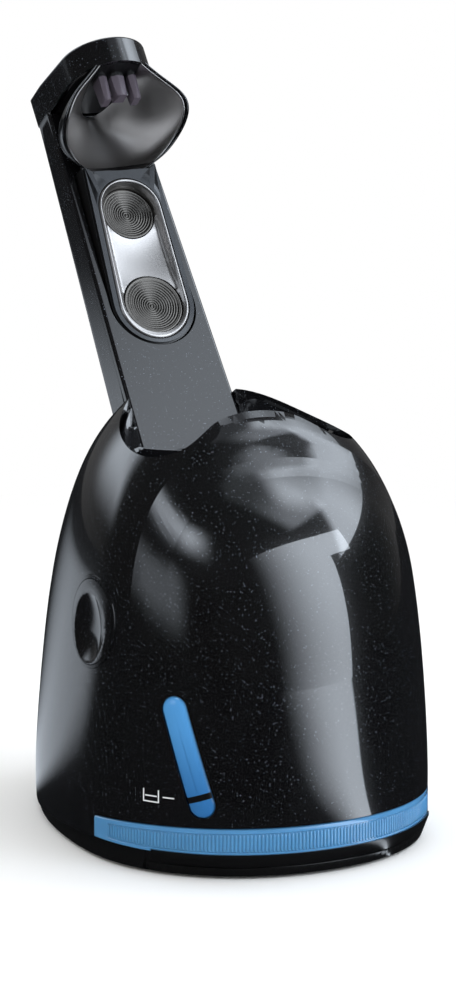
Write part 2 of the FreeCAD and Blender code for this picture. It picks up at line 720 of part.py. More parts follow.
def lift_button_cutter(radius):
    return cylinder(radius, 40.0, Vector(-80.0, LIFT_BUTTON_Y, LIFT_BUTTON_Z), Vector(1, 0, 0))


def housing_shell(form, inside):
    """Moulded dome with its opening, cut where it meets the tower, the lens and the lift button."""
    shell = form.cut(inside)
    shell = shell.cut(below_edge(0.0))
    opening = Part.makeLoft([rim_outline(100.0), rim_outline(FAR / 2)], True, True)
    shell = shell.cut(opening)
    half = TOWER_HALF_FOOT + SEAT_GAP
    shell = shell.cut(tower_frame(box(-half, half, -FAR / 4, TOWER_SPLIT, -TOWER_BELOW, FAR)))
    shell = shell.cut(tower_frame(tower_solid(-SEAT_GAP, -TOWER_BELOW - 20.0, TOWER_TOP)))
    shell = shell.cut(window_pill(-0.2, -15.0, 15.0))
    shell = shell.cut(lift_button_cutter(LIFT_BUTTON_RADIUS + GAP + LIFT_BUTTON_RING))
    return shell


def rear_half(shift=0.0):
    return box(-FAR, FAR, REAR_SPLIT_Y + shift, FAR, -FAR, FAR)


def dome_shell(shell):
    return one_solid(shell.cut(rear_half()))


def socket_box(grow):
    w, h, d = SOCKET_SIZE
    rear = form_at(SOCKET_Z)[2]
    low, high = SOCKET_Z - h / 2 - grow, SOCKET_Z + h / 2 + grow
    return box(-w / 2 - grow, w / 2 + grow, rear - d - grow, rear + 6.0, low, high)


def rear_cover(shell):
    cover = shell.common(rear_half(SEAT_GAP))
    cover = cover.cut(socket_box(0.2))
    for i in range(-3, 4):
        cover = cover.cut(box(6.0 * i - 1.2, 6.0 * i + 1.2, REAR_SPLIT_Y + 4.0, FAR, 88.0, 104.0))
    return one_solid(cover)


def chassis(inside):
    """Plate across the housing with guide sleeves, board stands and lugs for the outer shells."""
    plate = inside.common(box(-FAR, FAR, -FAR, FAR, CHASSIS_BOTTOM, CHASSIS_TOP))
    rim = box(-FAR, FAR, -FAR, FAR, CHASSIS_BOTTOM - 1.0, CHASSIS_TOP + 1.0)
    inner = form_solid(inset_rows(WALL + SEAT_GAP * 2))
    plate = inner.common(plate).common(rim)
    pieces = [plate]
    for x in (-POST_X, POST_X):
        pieces.append(cylinder(SLEEVE_RADIUS, CHASSIS_TOP - SLEEVE_BOTTOM, Vector(x, POST_Y, SLEEVE_BOTTOM)))
    for x, y in board_stands():
        pieces.append(cylinder(3.0, BOARD_STAND, Vector(x, y, CHASSIS_TOP)))
    pieces.append(latch_bracket())
    body = fuse(*pieces)
    for x in (-POST_X, POST_X):
        body = body.cut(cylinder(POST_RADIUS + FIT, FAR, Vector(x, POST_Y, 0)))
    body = body.cut(cylinder(DRAIN_RADIUS + SEAT_GAP, FAR, Vector(0, DRAIN_Y, 0)))
    body = body.cut(cylinder(DIP_RADIUS + SEAT_GAP, FAR, Vector(DIP_X, DIP_Y, 0)))
    body = body.cut(cylinder(LEAD_RADIUS + 1.0, FAR, Vector(MAINS_HOLE_X, MAINS_HOLE_Y, 0)))
    for x, y in leg_screws():
        body = body.cut(cylinder(SCREW_RADIUS, FAR, Vector(x, y, 0)))
    for x, y in board_stands():
        body = body.cut(cylinder(1.0, FAR, Vector(x, y, CHASSIS_TOP + BOARD_STAND - 4.0)))
    body = body.cut(latch_slot())
    body = body.cut(window_pill(-2.4, -15.0, 15.0))
    pushed = form_at(LIFT_BUTTON_Z)[0] - LIFT_BUTTON_THICKNESS - LIFT_BUTTON_TRAVEL - 1.0
    room = cylinder(LIFT_BUTTON_RADIUS + LIFT_BUTTON_RING + GAP, 40.0,
                    Vector(-pushed - 40.0, LIFT_BUTTON_Y, LIFT_BUTTON_Z), Vector(1, 0, 0))
    body = body.cut(room.common(box(-FAR, FAR, -FAR, FAR, -FAR, CHASSIS_TOP + 1.0)))
    pin_end = Vector(LATCH_PIVOT_X, -FAR / 4, LATCH_PIVOT_Z)
    body = body.cut(cylinder(LATCH_PIN_RADIUS, FAR / 2, pin_end, Vector(0, 1, 0)))
    return one_solid(body)


def latch_slot():
    y0, y1 = LIFT_BUTTON_Y - LATCH_WIDTH / 2 - 1.0, LIFT_BUTTON_Y + LATCH_WIDTH / 2 + 1.0
    return box(CATCH_X - 1.0, LATCH_PIVOT_X + 10.0, y0, y1, CHASSIS_BOTTOM - 1.0, CHASSIS_TOP + 1.0)


def latch_bracket():
    """Two ears that hold the latch pin, one each side of the lever."""
    ears = []
    for side in (-1, 1):
        y = LIFT_BUTTON_Y + side * (LATCH_WIDTH / 2 + GAP + 1.0)
        near, far = LATCH_PIVOT_X - EAR_RADIUS, LATCH_PIVOT_X + EAR_RADIUS
        ear = box(near, far, y - 1.0, y + 1.0, CHASSIS_TOP - 1.0, LATCH_PIVOT_Z)
        eye = cylinder(EAR_RADIUS, 2.0, Vector(LATCH_PIVOT_X, y - 1.0, LATCH_PIVOT_Z), Vector(0, 1, 0))
        ears.append(fuse(ear, eye))
        foot = box(near, LATCH_PIVOT_X + EAR_FOOT, y - 1.0, y + 1.0, CHASSIS_BOTTOM, CHASSIS_TOP)
        ears.append(foot)
    return fuse(*ears)


def wash_bowl():
    outer = bowl_solid(SEAT_GAP, BOWL_BOTTOM)
    skin = form_solid(inset_rows(BOWL_STEP, drop=1.0))
    outer = outer.common(skin)
    inner = bowl_solid(SEAT_GAP + BOWL_WALL, BOWL_BOTTOM + BOWL_WALL)
    bowl = outer.cut(inner)
    bowl = bowl.cut(tower_frame(tower_solid(-SEAT_GAP, -TOWER_BELOW - SEAT_GAP, TOWER_TOP)))
    half = TOWER_HALF_FOOT + SEAT_GAP
    bowl = bowl.cut(tower_frame(box(-half, half, -BOWL_CLEAR, FAR / 4, -TOWER_BELOW - SEAT_GAP, FAR / 2)))
    front = TOWER_FOOT_Y - BOWL_FALL
    over = [(-FAR, front, FAR), (-FAR, front, BOWL_FALL_TOP), (-FAR, TOWER_FOOT_Y, BOWL_REAR_TOP),
            (-FAR, FAR, BOWL_REAR_TOP), (-FAR, FAR, FAR)]
    bowl = bowl.cut(prism(over, (2 * FAR, 0, 0)))
    spout = cylinder(DRAIN_RADIUS + 1.6, 6.0, Vector(0, DRAIN_Y, BOWL_BOTTOM - 5.0))
    bowl = one_solid(bowl).fuse(spout)
    bowl = bowl.cut(cylinder(HOSE_BORE, FEED_Y, Vector(-NIPPLE_X, DRAIN_Y, FEED_Z), Vector(0, 1, 0)))
    bowl = bowl.cut(cylinder(DRAIN_RADIUS, 30.0, Vector(0, DRAIN_Y, BOWL_BOTTOM - 10.0)))
    return one_solid(bowl)


# ---- tower --------------------------------------------------------------------------------------

def tower_place(local):
    """Placement in the station of something given in the tower's own frame."""
    lean = Placement(Vector(0, TOWER_FOOT_Y, TOWER_FOOT_Z), Rotation(Vector(1, 0, 0), -TOWER_LEAN))
    return lean.multiply(local)


def panel_frame(shape):
    """From the panel's own frame (across, up it, outwards) to the station's."""
    turn = Rotation(Vector(1, 0, 0), 90 + PANEL_TILT)
    moved = shape.copy()
    moved.Placement = tower_place(Placement(Vector(0, -PANEL_RISE_BOTTOM, PANEL_BOTTOM_S), turn))
    return moved


def button_frame(shape):
    """From the buttons' own frame to the station's; its origin is the lower button's face."""
    turn = Rotation(Vector(1, 0, 0), 90 + BUTTON_TILT)
    moved = shape.copy()
    moved.Placement = tower_place(Placement(Vector(0, -BUTTON_RISE, FAST_S), turn))
    return moved


def tongue(inset, low, high):
    """Panel outline, round at the bottom and slightly hollow at the top, as a prism."""
    r = PANEL_HALF_BOTTOM - inset
    half = PANEL_HALF_TOP - inset
    centre = PANEL_HALF_BOTTOM
    top = PANEL_TOP_S - PANEL_BOTTOM_S - inset
    corner = top + PANEL_TOP_HOLLOW
    a = Vector(-half, corner, low)
    b = Vector(-r, centre, low)
    c = Vector(r, centre, low)
    d = Vector(half, corner, low)
    edges = [
        Part.makeLine(a, b),
        Part.Arc(b, Vector(0, centre - r, low), c).toShape(),
        Part.makeLine(c, d),
        Part.Arc(d, Vector(0, top, low), a).toShape(),
    ]
    return Part.Face(Part.Wire(edges)).extrude(Vector(0, 0, high - low))


def pin_outline(inset, low, high):
    """Outline round both buttons: two circles and their common tangents, as a prism."""
    r0 = FAST_RADIUS + BEZEL_RIM - inset
    r1 = START_RADIUS + BEZEL_RIM - inset
    reach = START_S - FAST_S
    tilt = math.asin((r0 - r1) / reach)
    c, s = math.cos(tilt), math.sin(tilt)
    a = Vector(r0 * c, r0 * s, low)
    b = Vector(r1 * c, reach + r1 * s, low)
    edges = [
        Part.makeLine(a, b),
        Part.Arc(b, Vector(0, reach + r1, low), Vector(-b.x, b.y, low)).toShape(),
        Part.makeLine(Vector(-b.x, b.y, low), Vector(-a.x, a.y, low)),
        Part.Arc(Vector(-a.x, a.y, low), Vector(0, -r0, low), a).toShape(),
    ]
    return Part.Face(Part.Wire(edges)).extrude(Vector(0, 0, high - low))


def cap_seam(shift=0.0):
    """Everything of the tower above the U-shaped seam under the cap, as seen from the side."""
    points = [
        (-FAR, -FAR, SKIRT_SIDE_S + shift),
        (-FAR, TOWER_DEPTH_TOP * 0.55, SKIRT_SIDE_S + shift),
        (-FAR, TOWER_DEPTH_TOP, SKIRT_REAR_S + shift),
        (-FAR, FAR, SKIRT_REAR_S + shift),
        (-FAR, FAR, FAR),
        (-FAR, -FAR, FAR),
    ]
    return prism(points, (2 * FAR, 0, 0))


def hood_solid(grow):
    """Bell of the hood: round sections along the tower, widest at its mouth."""
    wires = []
    for s, half, back in HOOD_SECTIONS:
        reach = HOOD_CENTRE - back + grow
        wires.append(Part.Wire([Part.Ellipse(Vector(0, -HOOD_CENTRE - reach, s),
                                             Vector(half + grow, -HOOD_CENTRE, s),
                                             Vector(0, -HOOD_CENTRE, s)).toShape()]))
    return Part.makeLoft(wires, True, False)


def hood_mouth(shift):
    """Everything in front of the hood's mouth line, seen from the side."""
    points = [Vector(-FAR, -n - shift, s) for s, n in HOOD_MOUTH]
    curve = Part.BSplineCurve()
    curve.interpolate(points)
    last, first = points[-1], points[0]
    corner_a = Vector(-FAR, last.y, FAR)
    corner_b = Vector(-FAR, -FAR, FAR)
    corner_c = Vector(-FAR, -FAR, -FAR)
    corner_d = Vector(-FAR, first.y, -FAR)
    edges = [curve.toShape(), Part.makeLine(last, corner_a), Part.makeLine(corner_a, corner_b),
             Part.makeLine(corner_b, corner_c), Part.makeLine(corner_c, corner_d), Part.makeLine(corner_d, first)]
    return Part.Face(Part.Wire(edges)).extrude(Vector(2 * FAR, 0, 0))


def tower_tube():
    """Hollow tower from inside the housing up to the cap."""
    outer = tower_solid(0.0, -TOWER_BELOW, CAP_BOTTOM_S)
    return outer.cut(tower_solid(TOWER_WALL, -TOWER_BELOW - 1.0, CAP_BOTTOM_S + 1.0))


def tower_rear():
    """Channel of the tower with two legs that stand on the chassis."""
    channel = tower_tube()
    channel = channel.cut(box(-FAR, FAR, -FAR, TOWER_SPLIT + SEAT_GAP, -FAR, FAR))
    channel = channel.cut(cap_seam())
    channel = tower_frame(channel.cut(hood_solid(HOOD_WALLS + SEAT_GAP)))
    legs = []
    for side in (-1, 1):
        x0, x1 = sorted((side * (TOWER_HALF_FOOT - 2 * TOWER_WALL), side * (TOWER_HALF_FOOT - SEAT_GAP)))
        leg = box(x0, x1, LEG_Y[0], LEG_Y[1], CHASSIS_TOP, TOWER_FOOT_Z)
        leg = leg.cut(tower_frame(box(-FAR, FAR, -FAR, TOWER_SPLIT + SEAT_GAP, -TOWER_BELOW - 10.0, FAR)))
        leg = leg.cut(tower_frame(tower_solid(TOWER_WALL, -TOWER_BELOW - 10.0, 30.0)))
        leg = leg.cut(tower_frame(box(-FAR, FAR, TOWER_DEPTH_FOOT - 1.0, FAR, -TOWER_BELOW - FAR, FAR)))
        x2, x3 = sorted((side * (TOWER_HALF_FOOT - 2 * TOWER_WALL), side * (TOWER_HALF_FOOT + LEG_FOOT)))
        foot = box(x2, x3, LEG_Y[0], LEG_Y[1], CHASSIS_TOP, CHASSIS_TOP + LEG_FOOT_THICKNESS)
        for x, y in leg_screws():
            foot = foot.cut(cylinder(SCREW_RADIUS, FAR, Vector(x, y, 0)))
        legs.append(leg)
        legs.append(foot)
    return one_solid(fuse(channel, *legs))


def leg_screws():
    middle = (LEG_Y[0] + LEG_Y[1]) / 2
    return [(side * (TOWER_HALF_FOOT + LEG_FOOT / 2), middle) for side in (-1, 1)]


def chassis_screws():
    screws = []
    for x, y in leg_screws():
        top = CHASSIS_TOP + LEG_FOOT_THICKNESS
        head = cylinder(SCREW_HEAD, 1.6, Vector(x, y, top))
        shank = cylinder(SCREW_RADIUS, LEG_FOOT_THICKNESS + CHASSIS_THICKNESS, Vector(x, y, CHASSIS_BOTTOM))
        screws.append(fuse(head, shank))
    for x, y in board_stands():
        top = CHASSIS_TOP + BOARD_STAND + BOARD_SIZE[2]
        head = cylinder(SCREW_HEAD, 1.6, Vector(x, y, top))
        shank = cylinder(1.0, BOARD_SIZE[2] + 4.0, Vector(x, y, top - BOARD_SIZE[2] - 4.0))
        screws.append(fuse(head, shank))
    return Part.makeCompound(screws)


def tower_front():
    """Face of the tower, open behind the control panel and cut round the hood."""
    face = tower_tube().common(box(-FAR, FAR, -FAR, TOWER_SPLIT, -FAR, FAR))
    face = face.cut(hood_solid(HOOD_WALLS + SEAT_GAP))
    face = face.cut(cap_seam(0.0))
    face = tower_frame(face)
    return one_solid(face.cut(panel_frame(tongue(-PANEL_SHADOW, -30.0, 30.0))))


def cap():
    """Hooked cap: a flat slab with a half-round nose and a skirt down round the tower."""
    def plan(inset, low, high):
        r = CAP_NOSE_RADIUS - inset
        half = CAP_HALF - inset
        nose = -CAP_NOSE + CAP_NOSE_RADIUS
        rear = TOWER_DEPTH_TOP - inset
        k = CAP_CORNER
        turn = math.atan2(-nose, half) - math.acos(r / math.hypot(half, nose))
        touch = Vector(r * math.cos(turn), nose + r * math.sin(turn), low)
        side = [touch, Vector(half, 0, low), Vector(half, rear - k, low), Vector(half - k, rear, low)]
        line = side + [Vector(-p.x, p.y, low) for p in reversed(side)]
        edges = [Part.Arc(line[-1], Vector(0, nose - r, low), line[0]).toShape()]
        edges += [Part.makeLine(a, b) for a, b in zip(line[:-1], line[1:])]
        return Part.Face(Part.Wire(edges)).extrude(Vector(0, 0, high - low))

    slab = plan(0.0, CAP_BOTTOM_S, CAP_REAR_TOP_S + 6.0)
    over = prism([(-FAR, -CAP_NOSE, CAP_TOP_S), (-FAR, TOWER_DEPTH_TOP, CAP_REAR_TOP_S),
                  (-FAR, TOWER_DEPTH_TOP + 20.0, CAP_REAR_TOP_S), (-FAR, TOWER_DEPTH_TOP + 20.0, FAR),
                  (-FAR, -FAR, FAR), (-FAR, -FAR, CAP_TOP_S)], (2 * FAR, 0, 0))
    slab = slab.cut(over)
    rims = [e for e in slab.Edges if e.BoundBox.ZMin > CAP_TOP_S - 0.5]
    slab = slab.makeFillet(CAP_EDGE, rims)
    skirt = tower_solid(0.0, SKIRT_SIDE_S - 1.0, CAP_BOTTOM_S + 0.5)
    skirt = skirt.common(cap_seam(SEAT_GAP))
    skirt = skirt.cut(hood_solid(HOOD_WALLS + SEAT_GAP))
    inner = plan(CAP_WALL, CAP_BOTTOM_S - 1.0, CAP_TOP_S - CAP_WALL)
    hollow = tower_solid(TOWER_WALL, SKIRT_SIDE_S - 5.0, CAP_BOTTOM_S + 2.0)
    body = fuse(slab, skirt)
    return tower_frame(one_solid(body.cut(inner).cut(hollow)))


def hood(outer, inner, shift, low, high):
    shell = hood_solid(outer).cut(hood_solid(inner))
    shell = shell.common(box(-FAR, FAR, -FAR, FAR, low, high))
    return tower_frame(one_solid(shell.cut(hood_mouth(shift))))


def hood_shell():
    return hood(HOOD_WALLS, HOOD_WALLS - HOOD_WALL, 0.0, HOOD_SECTIONS[0][0], CAP_BOTTOM_S - SEAT_GAP)


def hood_liner():
    return hood(HOOD_WALL, 0.0, -HOOD_STEP, HOOD_SECTIONS[0][0] + 0.2, CAP_BOTTOM_S - SEAT_GAP)


def plug_block():
    """Plate under the cap's nose with the plug: a middle finger and a slimmer one each side."""
    r = CAP_NOSE_RADIUS - CAP_WALL - SEAT_GAP
    nose = -CAP_NOSE + CAP_NOSE_RADIUS
    low, high = CAP_BOTTOM_S, CAP_BOTTOM_S + 1.8
    plate = fuse(cylinder(r, high - low, Vector(0, nose, low)), box(-r, r, nose, 2.0, low, high))
    pieces = [plate]
    for k, width in ((-1, PLUG_SIDE_WIDTH), (0, PLUG_CENTRE_WIDTH), (1, PLUG_SIDE_WIDTH)):
        x = k * PLUG_PITCH
        front, back = -PLUG_RISE, -PLUG_RISE + PLUG_DEPTH
        bottom = PLUG_BOTTOM_S if k == 0 else PLUG_BOTTOM_S - 1.5
        w0, w1 = width / 2, width / 2 * 0.8
        top = [Vector(x - w0, back, low + 0.5), Vector(x - w0, front, low + 0.5), Vector(x, front - 1.0, low + 0.5),
               Vector(x + w0, front, low + 0.5), Vector(x + w0, back, low + 0.5)]
        end = [Vector(x - w1, back - 1.0, bottom), Vector(x - w1, front + 1.0, bottom), Vector(x, front + 0.2, bottom),
               Vector(x + w1, front + 1.0, bottom), Vector(x + w1, back - 1.0, bottom)]
        wires = [Part.makePolygon(loop + loop[:1]) for loop in (top, end)]
        pieces.append(Part.makeLoft(wires, True, True))
    return tower_frame(one_solid(fuse(*pieces)))


def plug_contacts():
    """Sprung metal contacts between the fingers."""
    pins = []
    for k in (-1, 1):
        x = k * (PLUG_CENTRE_WIDTH / 2 + (PLUG_PITCH - PLUG_CENTRE_WIDTH / 2 - PLUG_SIDE_WIDTH / 2) / 2)
        y = -PLUG_RISE + PLUG_DEPTH / 2
        shank = cylinder(0.6, CAP_BOTTOM_S - PLUG_BOTTOM_S - 2.0, Vector(x, y, PLUG_BOTTOM_S + 2.0))
        tip = Part.makeSphere(0.6, Vector(x, y, PLUG_BOTTOM_S + 2.0))
        pins.append(tower_frame(fuse(shank, tip)))
    return Part.makeCompound(pins)


def panel_carrier():
    block = panel_frame(tongue(0.0, -PANEL_DEEP, -PANEL_SKIN))
    block = block.common(tower_frame(box(-FAR, FAR, -FAR, PANEL_BEHIND, -FAR, FAR)))
    pocket = panel_frame(tongue(1.6, -PANEL_DEEP - 1.0, -PANEL_SKIN - 1.4))
    block = block.cut(pocket)
    block = block.cut(tower_frame(hood_solid(HOOD_WALLS + SEAT_GAP)))
    block = block.cut(button_frame(pin_outline(-SEAT_GAP, -40.0, 40.0)))
    for x, y in ((-PANEL_HALF_BOTTOM, 0.0), (PANEL_HALF_BOTTOM, 0.0)):
        ear = box(-1.2, 1.2, 20.0, 60.0, -PANEL_DEEP, -PANEL_SKIN - 1.0)
        ear.translate(Vector(x - math.copysign(1.9, x), y, 0))
        ear = panel_frame(ear).common(tower_frame(box(-FAR, FAR, -FAR, PANEL_BEHIND, -FAR, FAR)))
        block = block.fuse(ear.cut(button_frame(pin_outline(-SEAT_GAP, -40.0, 40.0))))
    return one_solid(block.removeSplitter())


def panel_skin():
    skin = panel_frame(tongue(PANEL_SIDE, -PANEL_SKIN, 0.0))
    skin = skin.cut(tower_frame(hood_solid(HOOD_WALLS + SEAT_GAP)))
    return one_solid(skin.cut(button_frame(pin_outline(-SEAT_GAP, -40.0, 40.0))))


def button_bezel():
    """Bright trough round both buttons, dished between them."""
    wall = button_frame(pin_outline(0.0, -BEZEL_DEEP, 40.0))
    wall = wall.common(panel_frame(box(-FAR, FAR, -FAR, FAR, -FAR, BEZEL_PROUD)))
    wall = wall.cut(button_frame(pin_outline(BEZEL_WALL, 0.0, 40.0)))
    middle = (START_S - FAST_S + FAST_RADIUS - START_RADIUS) / 2
    centre = Vector(-30.0, middle, BEZEL_DISH_RADIUS - BEZEL_DISH)
    hollow = cylinder(BEZEL_DISH_RADIUS, 60.0, centre, Vector(1, 0, 0))
    hollow = hollow.common(pin_outline(BEZEL_WALL, -BEZEL_DISH, 40.0))
    wall = wall.cut(button_frame(hollow))
    holes = [button_frame(cylinder(r + GAP, 40.0, Vector(0, y, -20.0)))
             for r, y in ((FAST_RADIUS, 0.0), (START_RADIUS, START_S - FAST_S))]
    return one_solid(wall.cut(holes[0]).cut(holes[1]))


def push_button(radius, y):
    """Round button with a dished face of fine rings, and a stem to its switch."""
    dish = radius - 1.0
    profile = [Vector(0, 0, -BUTTON_DISH)]
    r = RINGS_FROM
    while r + RING_PITCH < dish:
        high = -BUTTON_DISH * (1 - (r / dish) ** 2)
        low = -BUTTON_DISH * (1 - ((r + RING_PITCH / 2) / dish) ** 2) - RING_DEPTH
        crest, foot = r + RING_CREST * RING_PITCH, r + RING_FOOT * RING_PITCH
        profile += [Vector(r, 0, high), Vector(crest, 0, low + RING_DEPTH), Vector(foot, 0, low)]
        r += RING_PITCH
    profile += [Vector(dish, 0, 0), Vector(radius - 0.3, 0, 0), Vector(radius, 0, -0.3)]
    profile += [Vector(radius, 0, -BUTTON_THICKNESS), Vector(STEM_RADIUS, 0, -BUTTON_THICKNESS)]
    profile += [Vector(STEM_RADIUS, 0, -STEM_END), Vector(0, 0, -STEM_END)]
    face = Part.Face(Part.makePolygon(profile + profile[:1]))
    button = face.revolve(Vector(0, 0, 0), Vector(0, 0, 1), 360)
    button = one_solid(button)
    button.translate(Vector(0, y, 0))
    return button_frame(Part.makeSolid(button.Shells[0]))


def panel_board():
    reach = START_S - FAST_S
    board = box(-BOARD_HALF, BOARD_HALF, -10.0, reach + 10.0, -BOARD_DEEP - 1.6, -BOARD_DEEP)
    return button_frame(board)


def panel_switches():
    switches = []
    for y in (0.0, START_S - FAST_S):
        body = box(-3.0, 3.0, y - 3.0, y + 3.0, -BOARD_DEEP, -BOARD_DEEP + SWITCH_HEIGHT)
        plunger = cylinder(1.4, SWITCH_PLUNGER, Vector(0, y, -BOARD_DEEP + SWITCH_HEIGHT))
        switches.append(button_frame(fuse(body, plunger)))
    return Part.makeCompound(switches)


# ---- window, symbol and lift button -------------------------------------------------------------

def skin_layer(low, high):
    """Thin layer that follows the housing's outer form, between two offsets."""
    return form_solid(inset_rows(-high, 0.0)).cut(form_solid(inset_rows(-low, 0.0)))


def window_lens():
    lens = window_pill(0.0, -15.0, 15.0).common(skin_layer(-LENS_THICKNESS, LENS_PROUD))
    flange = window_pill(-1.6, -15.0, 15.0).common(skin_layer(-WALL - SEAT_GAP - 1.2, -WALL - SEAT_GAP))
    neck = window_pill(0.6, -15.0, 15.0).common(skin_layer(-WALL - SEAT_GAP - 0.6, -LENS_THICKNESS + 0.4))
    return one_solid(fuse(lens, neck, flange))


def min_mark():
    r = WINDOW_HALF_WIDTH + 1.0
    band = box(-r, r, -15.0, 15.0, -MIN_MARK_BELOW - MIN_MARK_HEIGHT, -MIN_MARK_BELOW)
    band.rotate(Vector(0, 0, 0), Vector(0, 1, 0), -WINDOW_TILT)
    band = window_frame(band).common(window_pill(0.3, -15.0, 15.0))
    return one_solid(band.common(skin_layer(LENS_PROUD, LENS_PROUD + PRINT)))


def level_symbol():
    """Printed container with a wave, and a dash towards the lower mark."""
    x0, x1 = SYMBOL_X - SYMBOL_WIDTH / 2, SYMBOL_X + SYMBOL_WIDTH / 2
    z0, z1 = SYMBOL_Z - SYMBOL_HEIGHT / 2, SYMBOL_Z + SYMBOL_HEIGHT / 2
    t = SYMBOL_STROKE
    bars = [
        fuse(box(x0, x0 + t, -15.0, 15.0, z0, z1), box(x1 - t, x1, -15.0, 15.0, z0, z1),
             box(x0, x1, -15.0, 15.0, z0, z0 + t)),
        box(x0 + 2 * t, x1 - 2 * t, -15.0, 15.0, SYMBOL_Z - t / 2, SYMBOL_Z + t / 2),
        box(x1 + 1.5, x1 + 1.5 + SYMBOL_DASH, -15.0, 15.0, SYMBOL_Z - t / 2, SYMBOL_Z + t / 2),
    ]
    layer = skin_layer(0.03, PRINT)
    front = box(-FAR, 0.0, -FAR, 0.0, 0.0, FAR)
    return Part.makeCompound([one_solid(window_frame(b).common(layer).common(front)) for b in bars])


def lift_button():
    disc = lift_button_cutter(LIFT_BUTTON_RADIUS).common(form_solid(inset_rows(-0.4, 0.0)))
    disc = disc.cut(form_solid(inset_rows(LIFT_BUTTON_THICKNESS, 0.0)))
    face_x = -form_at(LIFT_BUTTON_Z)[0]
    r = (DIMPLE_RADIUS ** 2 + DIMPLE_DEPTH ** 2) / (2 * DIMPLE_DEPTH)
    disc = disc.cut(Part.makeSphere(r, Vector(face_x - r + DIMPLE_DEPTH, LIFT_BUTTON_Y, LIFT_BUTTON_Z)))
    end = LATCH_PIVOT_X - LATCH_ARM / 2 - GAP
    start = Vector(face_x + LIFT_STEM_IN, LIFT_BUTTON_Y, LIFT_BUTTON_Z)
    stem = cylinder(LIFT_STEM_RADIUS, end - start.x, start, Vector(1, 0, 0))
    return one_solid(fuse(one_solid(disc), stem))


def lift_button_ring():
    ring = lift_button_cutter(LIFT_BUTTON_RADIUS + GAP + LIFT_BUTTON_RING - SEAT_GAP)
    ring = ring.cut(lift_button_cutter(LIFT_BUTTON_RADIUS + GAP))
    return one_solid(ring.common(skin_layer(-WALL, 0.35)))


def latch_lever():
    y0, y1 = LIFT_BUTTON_Y - LATCH_WIDTH / 2, LIFT_BUTTON_Y + LATCH_WIDTH / 2
    half = LATCH_ARM / 2
    hook_top = HOOK_Z + 0.4 - GAP
    arm = box(LATCH_PIVOT_X - half, LATCH_PIVOT_X + half, y0, y1, hook_top - HOOK_HEIGHT, LATCH_PIVOT_Z)
    pivot = Vector(LATCH_PIVOT_X, y0, LATCH_PIVOT_Z)
    eye = cylinder(LATCH_PIN_RADIUS + 1.8, LATCH_WIDTH, pivot, Vector(0, 1, 0))
    hook = box(CATCH_X + CATCH_THICKNESS + 0.6, LATCH_PIVOT_X, y0, y1, hook_top - HOOK_HEIGHT, hook_top)
    lever = fuse(arm, eye, hook)
    bore = cylinder(LATCH_PIN_RADIUS + FIT, FAR, Vector(LATCH_PIVOT_X, -FAR / 2, LATCH_PIVOT_Z), Vector(0, 1, 0))
    return one_solid(lever.cut(bore))


def latch_pin():
    reach = LATCH_WIDTH / 2 + GAP + 2.0
    end = Vector(LATCH_PIVOT_X, LIFT_BUTTON_Y - reach, LATCH_PIVOT_Z)
    return cylinder(LATCH_PIN_RADIUS, 2 * reach, end, Vector(0, 1, 0))


# ---- fluid and drive ----------------------------------------------------------------------------

def route(points, radius, bore=0.0):
    """Tube along straight runs joined by tangent arcs."""
    pts = [Vector(*p) for p in points]
    edges = []
    start = pts[0]
    for a, b, c in zip(pts[:-2], pts[1:-1], pts[2:]):
        u, v = (b - a).normalize(), (c - b).normalize()
        turn = u.getAngle(v)
        cut = 0.45 * min((b - a).Length, (c - b).Length)
        first, last = b - u * cut, b + v * cut
        bend = cut / math.tan(turn / 2) if turn > 0.001 else 0.0
        bisector = (v - u).normalize()
        depth = bend / math.cos(turn / 2) - bend
        edges.append(Part.makeLine(start, first))
        edges.append(Part.Arc(first, b + bisector * depth, last).toShape())
        start = last
    edges.append(Part.makeLine(start, pts[-1]))
    path = Part.Wire(edges)
    heading = (pts[1] - pts[0]).normalize()
    ring = Part.Wire([Part.makeCircle(radius, pts[0], heading)])
    body = path.makePipeShell([ring], True, True)
    if bore:
        hole = Part.Wire([Part.makeCircle(bore, pts[0], heading)])
        body = body.cut(path.makePipeShell([hole], True, True))
    return body


def drain_pipe():
    low = CARTRIDGE_TOP - LID_THICKNESS - 5.0
    return tube(DRAIN_RADIUS, DRAIN_RADIUS - 1.4, BOWL_BOTTOM - low, Vector(0, DRAIN_Y, low))


def dip_pipe():
    top = CHASSIS_TOP + 8.0
    pipe = tube(DIP_RADIUS, DIP_RADIUS - 0.9, top - DIP_BOTTOM, Vector(DIP_X, DIP_Y, DIP_BOTTOM))
    collar = tube(DIP_RADIUS + 2.0, DIP_RADIUS - 0.9, 2.0, Vector(DIP_X, DIP_Y, CHASSIS_TOP))
    return fuse(pipe, collar)


def pump_housing():
    low = CHASSIS_TOP
    body = cylinder(PUMP_RADIUS, PUMP_HEIGHT, Vector(0, SHAFT_Y, low))
    lug = box(-NIPPLE_X - 4.5, NIPPLE_X + 4.5, NIPPLE_Y - 4.5, SHAFT_Y, low, low + PUMP_HEIGHT - 2.0)
    pieces = [body, lug]
    for side in (-1, 1):
        foot = Vector(side * NIPPLE_X, NIPPLE_Y, low)
        pieces.append(cylinder(HOSE_BORE, PUMP_HEIGHT - 2.0 + NIPPLE_LENGTH, foot))
    body = fuse(*pieces)
    body = body.cut(cylinder(PUMP_RADIUS - PART_WALL, PUMP_HEIGHT, Vector(0, SHAFT_Y, low + PART_WALL)))
    for side in (-1, 1):
        body = body.cut(cylinder(HOSE_BORE - 1.0, FAR, Vector(side * NIPPLE_X, NIPPLE_Y, low + 3.0)))
    return one_solid(body)


